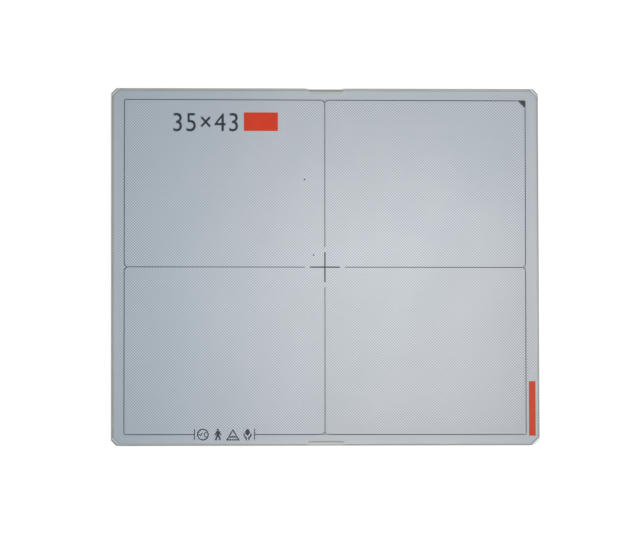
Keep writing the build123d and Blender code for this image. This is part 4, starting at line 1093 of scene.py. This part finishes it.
def cellMaterial(look):
    material, tree, shader, place = startMaterial(look["name"], look["roughness"])
    cells = addNode(tree, "TexVoronoi")
    wire(tree, place, cells.inputs["Vector"])
    cells.inputs["Scale"].default_value = look["cellScale"]
    depth = remap(tree, cells.outputs["Distance"], *look["cellEdge"], 0.0, 1.0)
    wire(tree, mixColours(tree, depth, look["cellColour"], look["gapColour"]), shader.inputs["Base Color"])
    rough = varyRoughness(tree, look, depth, wholeSpan, smoother=0.08, rougher=0.05)
    wire(tree, rough, shader.inputs["Roughness"])
    addBump(tree, shader, calculate(tree, "SUBTRACT", 1.0, depth), look["cellDepth"])
    return material


dress(cellMaterial(scintillatorLook), "scintillator")
dress(cellMaterial(foamLook), "foam_sheet")

# Sensor glass and status window, clear parts keep a plain metallic and transmission
sensorGlassLook = {
    "name": "sensorGlass",
    "colour": tint(206, 226, 220),
    "smearColour": tint(186, 210, 204),
    "transmission": 0.9,
    "roughness": 0.06,
    "ior": 1.52,
    "cloudScale": 30.0,
    "smearShow": 0.6,
    "grainScale": 3000.0,
    "grainDepth": 0.004,
}
statusWindowLook = {
    "name": "statusWindow",
    "colour": tint(214, 222, 226),
    "smearColour": tint(196, 206, 212),
    "transmission": 0.85,
    "roughness": 0.1,
    "ior": 1.49,
    "cloudScale": 160.0,
    "smearShow": 0.6,
    "grainScale": 3000.0,
    "grainDepth": 0.004,
}


def clearMaterial(look):
    material, tree, shader, place = startMaterial(
        look["name"], look["roughness"], Transmission_Weight=look["transmission"], IOR=look["ior"])
    grain = useGrain(tree, place, look)
    smear = calculate(tree, "MULTIPLY", grain["Cloud"], look["smearShow"])
    wire(tree, mixColours(tree, smear, look["colour"], look["smearColour"]), shader.inputs["Base Color"])
    rough = varyRoughness(tree, look, grain["Cloud"], wholeSpan, smoother=0.0, rougher=0.08)
    wire(tree, rough, shader.inputs["Roughness"])
    addBump(tree, shader, grain["Grain"], look["grainDepth"])
    return material


dress(clearMaterial(sensorGlassLook), "sensor_glass")
dress(clearMaterial(statusWindowLook), "status_window")

# Status lamps, milky lenses that glow green
lampLook = {
    "name": "lampLens",
    "colour": tint(96, 206, 120),
    "coreColour": tint(150, 236, 150),
    "glow": 2.4,
    "roughness": 0.3,
    "grainScale": 3000.0,
    "grainDepth": 0.006,
    "cloudScale": 900.0,
}


def lampMaterial(look):
    material, tree, shader, place = startMaterial(
        look["name"], look["roughness"], Emission_Strength=look["glow"])
    grain = useGrain(tree, place, look)
    lens = mixColours(tree, grain["Cloud"], look["colour"], look["coreColour"])
    wire(tree, lens, shader.inputs["Base Color"])
    wire(tree, lens, shader.inputs["Emission Color"])
    addBump(tree, shader, grain["Grain"], look["grainDepth"])
    return material


dress(lampMaterial(lampLook), "status_lamps")
print("stage 4: every packed node has its material")

# Print on the imaging face, thin solid ink, laid on the film with its dots still showing through
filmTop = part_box("front_film")[1].z
inkSetup = {
    "thickness": 0.03,   # above the film
    "sink": 0.01,   # how far the ink goes into the film, so that no faces coincide
    "weld": 0.001,   # points nearer than this become one
}


# Outline of a line of even width through the given points, square at its ends
def strokeOutline(points, width):
    left, right = [], []
    count = len(points)
    for index, (x, y) in enumerate(points):
        before = points[max(index - 1, 0)]
        after = points[min(index + 1, count - 1)]
        normals = []
        for start, end in ((before, (x, y)), ((x, y), after)):
            length = math.hypot(end[0] - start[0], end[1] - start[1])
            if length > 0:
                normals.append((-(end[1] - start[1]) / length, (end[0] - start[0]) / length))
        sumX = sum(normal[0] for normal in normals)
        sumY = sum(normal[1] for normal in normals)
        size = math.hypot(sumX, sumY)
        across = (sumX / size, sumY / size)
        reach = width / 2 / (across[0] * normals[0][0] + across[1] * normals[0][1])
        left.append((x + across[0] * reach, y + across[1] * reach))
        right.append((x - across[0] * reach, y - across[1] * reach))
    return left + right[::-1]


def arcPoints(centreX, centreY, radius, startAngle, endAngle, steps):
    points = []
    for step in range(steps + 1):
        angle = math.radians(startAngle + (endAngle - startAngle) * step / steps)
        points.append((centreX + radius * math.cos(angle), centreY + radius * math.sin(angle)))
    return points


def circlePoints(centreX, centreY, radius, count):
    return arcPoints(centreX, centreY, radius, 0, 360 - 360 / count, count - 1)


def rectangle(left, low, right, high):
    return [(left, low), (right, low), (right, high), (left, high)]


def panelOutline(setup):
    return rectangle(setup["left"], setup["low"], setup["right"], setup["high"])


# The same points on the other side of x = 0
def mirrored(points):
    return [(-x, y) for x, y in points]


# Solid ink from a filled flat curve; an outline inside another one is a hole in it
def inkMesh(name, curve):
    curve.dimensions = "2D"
    curve.fill_mode = "BOTH"
    curve.extrude = mm(inkSetup["thickness"] + inkSetup["sink"]) / 2
    holder = bpy.data.objects.new(name + "Curve", curve)
    bpy.context.scene.collection.objects.link(holder)
    bpy.context.view_layer.update()
    mesh = bpy.data.meshes.new_from_object(holder.evaluated_get(bpy.context.evaluated_depsgraph_get()))
    mesh.name = name
    bpy.data.objects.remove(holder)
    shape = bmesh.new()
    shape.from_mesh(mesh)
    bmesh.ops.remove_doubles(shape, verts=shape.verts, dist=mm(inkSetup["weld"]))
    bmesh.ops.recalc_face_normals(shape, faces=shape.faces)
    shape.to_mesh(mesh)
    shape.free()
    return mesh


def layInk(name, mesh, material):
    lift = filmTop + mm(inkSetup["thickness"] - inkSetup["sink"]) / 2
    for vertex in mesh.vertices:
        vertex.co.z += lift
    mesh.materials.clear()
    mesh.materials.append(material)
    piece = bpy.data.objects.new(name, mesh)
    bpy.context.scene.collection.objects.link(piece)
    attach(piece, "housing")


def printShape(name, outlines, material, centre=(0.0, 0.0), turn=0.0):
    cosine, sine = math.cos(turn), math.sin(turn)
    curve = bpy.data.curves.new(name, "CURVE")
    for outline in outlines:
        spline = curve.splines.new("POLY")
        spline.points.add(len(outline) - 1)
        for point, (x, y) in zip(spline.points, outline):
            turned = (x * cosine - y * sine + centre[0], x * sine + y * cosine + centre[1])
            point.co = (*mm(*turned), 0.0, 1.0)
        spline.use_cyclic_u = True
    layInk(name, inkMesh(name, curve), material)


def inkMaterial(look):
    material, tree, shader, place = startMaterial(
        look["name"], look["roughness"], Specular_IOR_Level=look["sheen"])
    grain = useGrain(tree, place, look)
    pitch = mm(filmLook["dotPitch"])
    dots = useGroup(tree, dotGroup, place, Pitch=pitch, Sharpness=look["dotSharpness"])["Dots"]
    ink = mixColours(tree, grain["Cloud"], look["colour"], look["thinColour"])
    ink = mixColours(tree, calculate(tree, "MULTIPLY", dots, look["dotShow"]), ink, look["thinColour"])
    wire(tree, ink, shader.inputs["Base Color"])
    rough = varyRoughness(tree, look, grain["Grain"], noiseSpan, smoother=0.05, rougher=0.05)
    wire(tree, rough, shader.inputs["Roughness"])
    addBump(tree, shader, dots, look["dotDepth"])
    return material


darkInkLook = {
    "name": "darkInk",
    "colour": tint(38, 47, 54),
    "thinColour": tint(50, 59, 66),
    "dotShow": 0.35,
    "dotDepth": 0.03,
    "dotSharpness": 0.25,
    "grainScale": 2600.0,
    "cloudScale": 70.0,
    "roughness": 0.5,
    "sheen": 0.15,
}
signInkLook = dict(darkInkLook, name="signInk", colour=tint(52, 58, 62), thinColour=tint(66, 72, 76),
                   dotShow=0.4, cloudScale=120.0)
lineInkLook = dict(signInkLook, name="lineInk", colour=tint(34, 43, 52), thinColour=tint(50, 60, 70))
orangeInkLook = dict(darkInkLook, name="orangeInk", colour=tint(204, 70, 40), thinColour=tint(196, 64, 38),
                     cloudScale=60.0, roughness=0.48, sheen=0.2)
redInkLook = dict(orangeInkLook, name="redInk", colour=tint(209, 57, 26), thinColour=tint(202, 52, 24))
darkInk = inkMaterial(darkInkLook)
signInk = inkMaterial(signInkLook)
lineInk = inkMaterial(lineInkLook)
orangeInk = inkMaterial(orangeInkLook)
redInk = inkMaterial(redInkLook)

# Border of the field, with a dip at each end of the centre lines
borderPrint = {
    "middle": (-0.25, -0.42),
    "turn": -0.0013,   # radians, the print lies a touch askew on the panel
    "crossAt": (-0.54, -0.19),   # centre lines, from the middle of the border
    "halfX": 215.8,
    "halfY": 179.73,
    "width": 0.86,
    "dipHalf": 3.07,
    "dipDepth": 2.7,
    "cornerCut": 1.0,
    "cornerGap": 0.7,   # the two lower corners stay open by this much
    "signLeft": -141.0,   # the lower line stops between these two for the signs
    "signRight": -75.6,
    "markStart": 8.6,   # the line stops this far from the corner, for the filled mark there
}


def borderLines(setup):
    x, y = setup["halfX"], setup["halfY"]
    half, depth, cut, gap = setup["dipHalf"], setup["dipDepth"], setup["cornerCut"], setup["cornerGap"]
    midX, midY = setup["crossAt"]
    leftDip = [(-x, midY - half), (-x + depth, midY), (-x, midY + half)]
    upperDip = [(midX - half, y), (midX, y - depth), (midX + half, y)]
    rightDip = [(x, midY + half), (x - depth, midY), (x, midY - half)]
    lowerDip = [(midX + half, -y), (midX, -y + depth), (midX - half, -y)]
    mark = setup["markStart"]
    upperLeft = [(-x, -y + gap), *leftDip, (-x, y - cut), (-x + cut, y), *upperDip, (x - mark, y)]
    right = [(x, y - mark), *rightDip, (x, -y + gap)]
    lowerRight = [(x - gap, -y), *lowerDip, (setup["signRight"], -y)]
    lowerLeft = [(setup["signLeft"], -y), (-x + gap, -y)]
    return [strokeOutline(line, setup["width"]) for line in (upperLeft, right, lowerRight, lowerLeft)]


# Whatever lies askew together with the border
def printOnBorder(name, outlines, material):
    printShape(name, outlines, material, borderPrint["middle"], borderPrint["turn"])


printOnBorder("print_border", borderLines(borderPrint), lineInk)

# Thin centre lines that stop short of the cross
centreLinePrint = {"width": 0.8, "start": 21.4, "endGap": 0.55}


def centreLines(setup, border):
    midX, midY = border["crossAt"]
    endX = border["halfX"] - border["dipDepth"] - setup["endGap"]
    endY = border["halfY"] - border["dipDepth"] - setup["endGap"]
    lines = []
    for side in (1, -1):
        lines.append([(midX + side * setup["start"], midY), (side * endX, midY)])
        lines.append([(midX, midY + side * setup["start"]), (midX, side * endY)])
    return [strokeOutline(line, setup["width"]) for line in lines]


printOnBorder("print_centre_lines", centreLines(centreLinePrint, borderPrint), lineInk)

# Bold cross in the middle of the field
crossPrint = {"half": 16.1, "width": 1.35}


def crossOutline(setup, border):
    far, near = setup["half"], setup["width"] / 2
    midX, midY = border["crossAt"]
    corners = [(far, -near), (far, near), (near, near)]
    outline = []
    for arm in range(4):
        outline += [(x + midX, y + midY) for x, y in corners]
        corners = [(-y, x) for x, y in corners]   # a quarter turn on to the next arm
    return outline


printOnBorder("print_centre_cross", [crossOutline(crossPrint, borderPrint)], darkInk)

# Filled corner that tells which way up the panel lies
cornerPrint = {"legStart": 8.4, "over": 0.5, "round": 1.6, "steps": 8}


def cornerOutline(setup, border):
    x = border["halfX"] + setup["over"]
    y = border["halfY"] + setup["over"]
    leg = setup["legStart"] + setup["over"]
    arc = arcPoints(x - setup["round"], y - setup["round"], setup["round"], 0, 90, setup["steps"])
    return [(x, y - leg)] + arc + [(x - leg, y)]


printOnBorder("print_corner_mark", [cornerOutline(cornerPrint, borderPrint)], signInk)

# Orange bar near the lower right edge, and the red panel at the upper left
sideBarPrint = {
    "left": 218.5,
    "right": 225.5,
    "low": -181.8,
    "high": -123.3,
    "rim": 1.0,   # darker along both long sides
    "rimColour": tint(160, 66, 44),
    "rimShow": 0.8,
}


def darkenRim(material, setup):
    tree = material.node_tree
    across = splitAxes(tree, objectPlace(tree))[0]
    inner = band(tree, across, setup["left"] + setup["rim"], setup["right"] - setup["rim"])
    rim = calculate(tree, "MULTIPLY", calculate(tree, "SUBTRACT", 1.0, inner), setup["rimShow"])
    overlayTone(material, rim, setup["rimColour"])


darkenRim(orangeInk, sideBarPrint)
printShape("print_side_bar", [panelOutline(sideBarPrint)], orangeInk)
redPanelPrint = {"left": -87.7, "right": -51.0, "low": 145.9, "high": 165.9}
printShape("print_red_panel", [panelOutline(redPanelPrint)], redInk)

# Field size in centimetres, in plain figures
sizePrint = {
    "text": "35×43",
    "left": -163.6,
    "right": -94.0,
    "low": 145.3,
    "high": 165.3,
    "size": 26.0,   # as set, before the figures are fitted between the four sides
    "spacing": 1.1,
}


def printNumbers(name, setup, material):
    lettering = bpy.data.curves.new(name, "FONT")
    lettering.body = setup["text"]
    lettering.size = mm(setup["size"])
    lettering.space_character = setup["spacing"]
    mesh = inkMesh(name, lettering)
    for axis, sides in enumerate((("left", "right"), ("low", "high"))):
        start, end = (setup[side] for side in sides)
        places = [vertex.co[axis] for vertex in mesh.vertices]
        least, most = min(places), max(places)
        scale = mm(end - start) / (most - least)
        for vertex, place in zip(mesh.vertices, places):
            vertex.co[axis] = mm(start) + (place - least) * scale
    layInk(name, mesh, material)


printNumbers("print_size_numbers", sizePrint, darkInk)

# Bars at both ends of the signs, and the four signs
endBarPrint = {"half": 5.95, "width": 1.0, "centreY": -179.7}


def endBars(setup, border):
    low, high = setup["centreY"] - setup["half"], setup["centreY"] + setup["half"]
    lefts = (border["signLeft"], border["signRight"] - setup["width"])
    return [rectangle(left, low, left + setup["width"], high) for left in lefts]


printOnBorder("print_end_bars", endBars(endBarPrint, borderPrint), darkInk)

# Ring with a lever and a half disc in it
ringPrint = {
    "centre": (-131.9, -180.0),
    "radius": 6.3,
    "width": 1.3,
    "count": 60,   # points round it
    "lever": [(-4.95, 0.0), (-2.9, 0.0)],
    "slash": [(-2.6, -1.3), (-0.4, 2.1)],
    "leverWidth": 1.0,
    "cup": [(4.15, 2.1), (3.0, 2.3), (1.8, 1.5), (1.5, 0.0), (1.8, -1.5), (3.0, -2.3), (4.15, -2.1)],
    "cupWidth": 0.95,
}


def ringSign(setup):
    outer = circlePoints(0, 0, setup["radius"], setup["count"])
    inner = circlePoints(0, 0, setup["radius"] - setup["width"], setup["count"])
    bars = [strokeOutline(setup[name], setup["leverWidth"]) for name in ("lever", "slash")]
    return [outer, inner, *bars, strokeOutline(setup["cup"], setup["cupWidth"])]


printShape("print_ring_sign", ringSign(ringPrint), signInk, ringPrint["centre"])

# Standing figure
figurePrint = {
    "centre": (-115.8, -180.0),
    "headRadius": 1.1,
    "headY": 5.25,
    "headCount": 16,   # points round it
    "side": [(0.6, 4.0), (1.7, 3.7), (3.95, -0.2), (2.8, -1.1), (1.55, 0.9), (1.5, -0.8), (3.5, -5.9),
             (1.7, -6.3)],
    "fork": (0.0, -2.1),
}


def figureSign(setup):
    head = circlePoints(0, setup["headY"], setup["headRadius"], setup["headCount"])
    return [head, setup["side"] + [setup["fork"]] + mirrored(setup["side"][::-1])]


printShape("print_figure_sign", figureSign(figurePrint), signInk, figurePrint["centre"])

# Load triangle with a bowed bar over its base
trianglePrint = {
    "centre": (-99.8, -180.0),
    "half": 7.3,
    "low": -6.3,
    "high": 6.3,
    "width": 1.25,
    "bowY": -11.0,
    "bowTop": (9.5, 111, 69),   # radius, and degrees at both ends
    "bowUnder": (7.9, 61, 119),
    "bowSteps": 10,
}


def triangleSign(setup):
    half, low, high, width = setup["half"], setup["low"], setup["high"], setup["width"]
    slope = math.hypot(half, high - low) / (high - low)
    outer = [(-half, low), (half, low), (0, high)]
    side = width * slope   # width of the sloped bars, along x
    rise = (high - low) / half
    reach = half - side - width / rise
    inner = [(-reach, low + width), (reach, low + width), (0, high - side * rise)]
    bow = []
    for arc in ("bowTop", "bowUnder"):
        bow += arcPoints(0, setup["bowY"], *setup[arc], setup["bowSteps"])
    return [outer, inner, bow]


printShape("print_load_sign", triangleSign(trianglePrint), signInk, trianglePrint["centre"])

# Two open hands under a leaf
handsPrint = {
    "centre": (-84.1, -180.0),
    "leafHalf": 2.55,
    "leafLow": -1.3,
    "leafHigh": 6.3,
    "leafFullness": 0.8,   # under 1 rounds the leaf out towards its tips
    "leafSteps": 12,
    "hand": [(3.8, 1.3), (3.7, -0.7), (2.6, -2.4), (1.45, -3.7), (1.4, -6.3)],
    "handWidth": 1.5,
}


def handsSign(setup):
    leaf = []
    for step in range(setup["leafSteps"] + 1):
        share = step / setup["leafSteps"]
        reach = setup["leafHalf"] * math.sin(math.pi * share) ** setup["leafFullness"]
        leaf.append((reach, setup["leafLow"] + (setup["leafHigh"] - setup["leafLow"]) * share))
    hand = strokeOutline(setup["hand"], setup["handWidth"])
    return [leaf + mirrored(leaf[-2:0:-1]), hand, mirrored(hand)]


printShape("print_care_sign", handsSign(handsPrint), signInk, handsPrint["centre"])

# Two small specks in the film
speckPrint = {"places": ((-22.5, 93.7), (-12.9, 12.3)), "radius": 0.85, "count": 10}
specks = [circlePoints(x, y, speckPrint["radius"], speckPrint["count"]) for x, y in speckPrint["places"]]
printShape("print_specks", specks, darkInk)
print("stage 5: print laid on the film")

# Floor, lamps and room
white = (1.0, 1.0, 1.0, 1.0)
floorSetup = {
    "half": 4.0,   # metres
    "colour": (0.5, 0.5, 0.5, 1.0),
    "lift": 0.84,   # the floor's own glow, for what the camera sees
    "farLift": 1.0,
    "nearEdge": 0.42,   # metres from the middle, where the lift starts to grow
    "farEdge": 0.9,
    "below": 0.05,   # under the panel
}


# 1 where the camera looks, straight or by way of a mirror or glass, and 0 for the light
def seenShare(tree):
    rays = addNode(tree, "LightPath")
    seen = calculate(tree, "MAXIMUM", rays.outputs["Is Camera Ray"], rays.outputs["Is Glossy Ray"])
    return calculate(tree, "MAXIMUM", seen, rays.outputs["Is Transmission Ray"])


# The camera sees the floor near white, darker only where the panel shades it
def floorMaterial(setup):
    material = bpy.data.materials.new("paleFloor")
    material.use_nodes = True
    tree = material.node_tree
    tree.nodes.clear()
    matt = addNode(tree, "BsdfDiffuse")
    matt.inputs["Color"].default_value = setup["colour"]
    glow = addNode(tree, "Emission")
    glow.inputs["Color"].default_value = white
    distance = addNode(tree, "VectorMath", operation="LENGTH")
    wire(tree, objectPlace(tree), distance.inputs[0])
    lift = remap(tree, distance.outputs["Value"], setup["nearEdge"], setup["farEdge"], setup["lift"],
                 setup["farLift"], smooth=True)
    wire(tree, calculate(tree, "MULTIPLY", seenShare(tree), lift), glow.inputs["Strength"])
    both = addNode(tree, "AddShader")
    wire(tree, matt.outputs[0], both.inputs[0])
    wire(tree, glow.outputs[0], both.inputs[1])
    end = addNode(tree, "OutputMaterial")
    wire(tree, both.outputs[0], end.inputs[0])
    return material


def layFloor(setup):
    half = setup["half"]
    mesh = bpy.data.meshes.new("floor")
    corners = [(-half, -half, 0), (half, -half, 0), (half, half, 0), (-half, half, 0)]
    mesh.from_pydata(corners, [], [(0, 1, 2, 3)])
    mesh.materials.append(floorMaterial(setup))
    floor = bpy.data.objects.new("floor", mesh)
    floor.location.z = -mm(setup["below"])
    bpy.context.scene.collection.objects.link(floor)


layFloor(floorSetup)

# The four low lamps light the walls and don't mirror in the film
lowLamp = {"aim": (0.0, 0.0, 0.0), "size": 0.9, "colour": (1.0, 1.0, 1.0), "mirrors": False}
lampSetups = [
    {"name": "keyLamp", "place": (0.09, -0.02, 0.56), "aim": (0.09, -0.02, 0.0), "size": 0.3, "power": 2.15,
     "colour": (1.0, 0.95, 0.905), "mirrors": True},
    {"name": "fillLamp", "place": (0.0, 0.3, 2.6), "aim": (0.0, 0.0, 0.0), "size": 2.0, "power": 5.0,
     "colour": (0.96, 0.98, 1.0), "mirrors": True},
    dict(lowLamp, name="farLamp", place=(0.1, 1.5, 0.42), power=6.5),
    dict(lowLamp, name="nearLamp", place=(0.1, -1.5, 0.42), power=6.5),
    dict(lowLamp, name="rightLamp", place=(1.6, 0.0, 0.42), power=5.5),
    dict(lowLamp, name="leftLamp", place=(-1.6, 0.0, 0.42), power=4.5),
]


def hangLamp(setup):
    light = bpy.data.lights.new(setup["name"], "AREA")
    light.shape = "SQUARE"
    light.size = setup["size"]
    light.energy = setup["power"]
    light.color = setup["colour"]
    lamp = bpy.data.objects.new(setup["name"], light)
    lamp.location = setup["place"]
    lamp.visible_camera = False
    lamp.visible_glossy = setup["mirrors"]
    direction = [aim - place for aim, place in zip(setup["aim"], setup["place"])]
    lamp.rotation_euler = Vector(direction).to_track_quat("-Z", "Y").to_euler()
    bpy.context.scene.collection.objects.link(lamp)


for lampSetup in lampSetups:
    hangLamp(lampSetup)

worldSetup = {"light": 0.15, "seen": 1.0, "colour": (0.84, 0.94, 1.0, 1.0)}


def setWorld(setup):
    world = bpy.data.worlds.new("paleRoom")
    world.use_nodes = True
    tree = world.node_tree
    sky = tree.nodes["Background"]
    seen = seenShare(tree)
    wire(tree, mixColours(tree, seen, setup["colour"], white), sky.inputs["Color"])
    wire(tree, remap(tree, seen, *wholeSpan, setup["light"], setup["seen"]), sky.inputs["Strength"])
    bpy.context.scene.world = world


setWorld(worldSetup)
bpy.context.scene.view_settings.view_transform = "Standard"
print("stage 6: floor, lamps and room set")
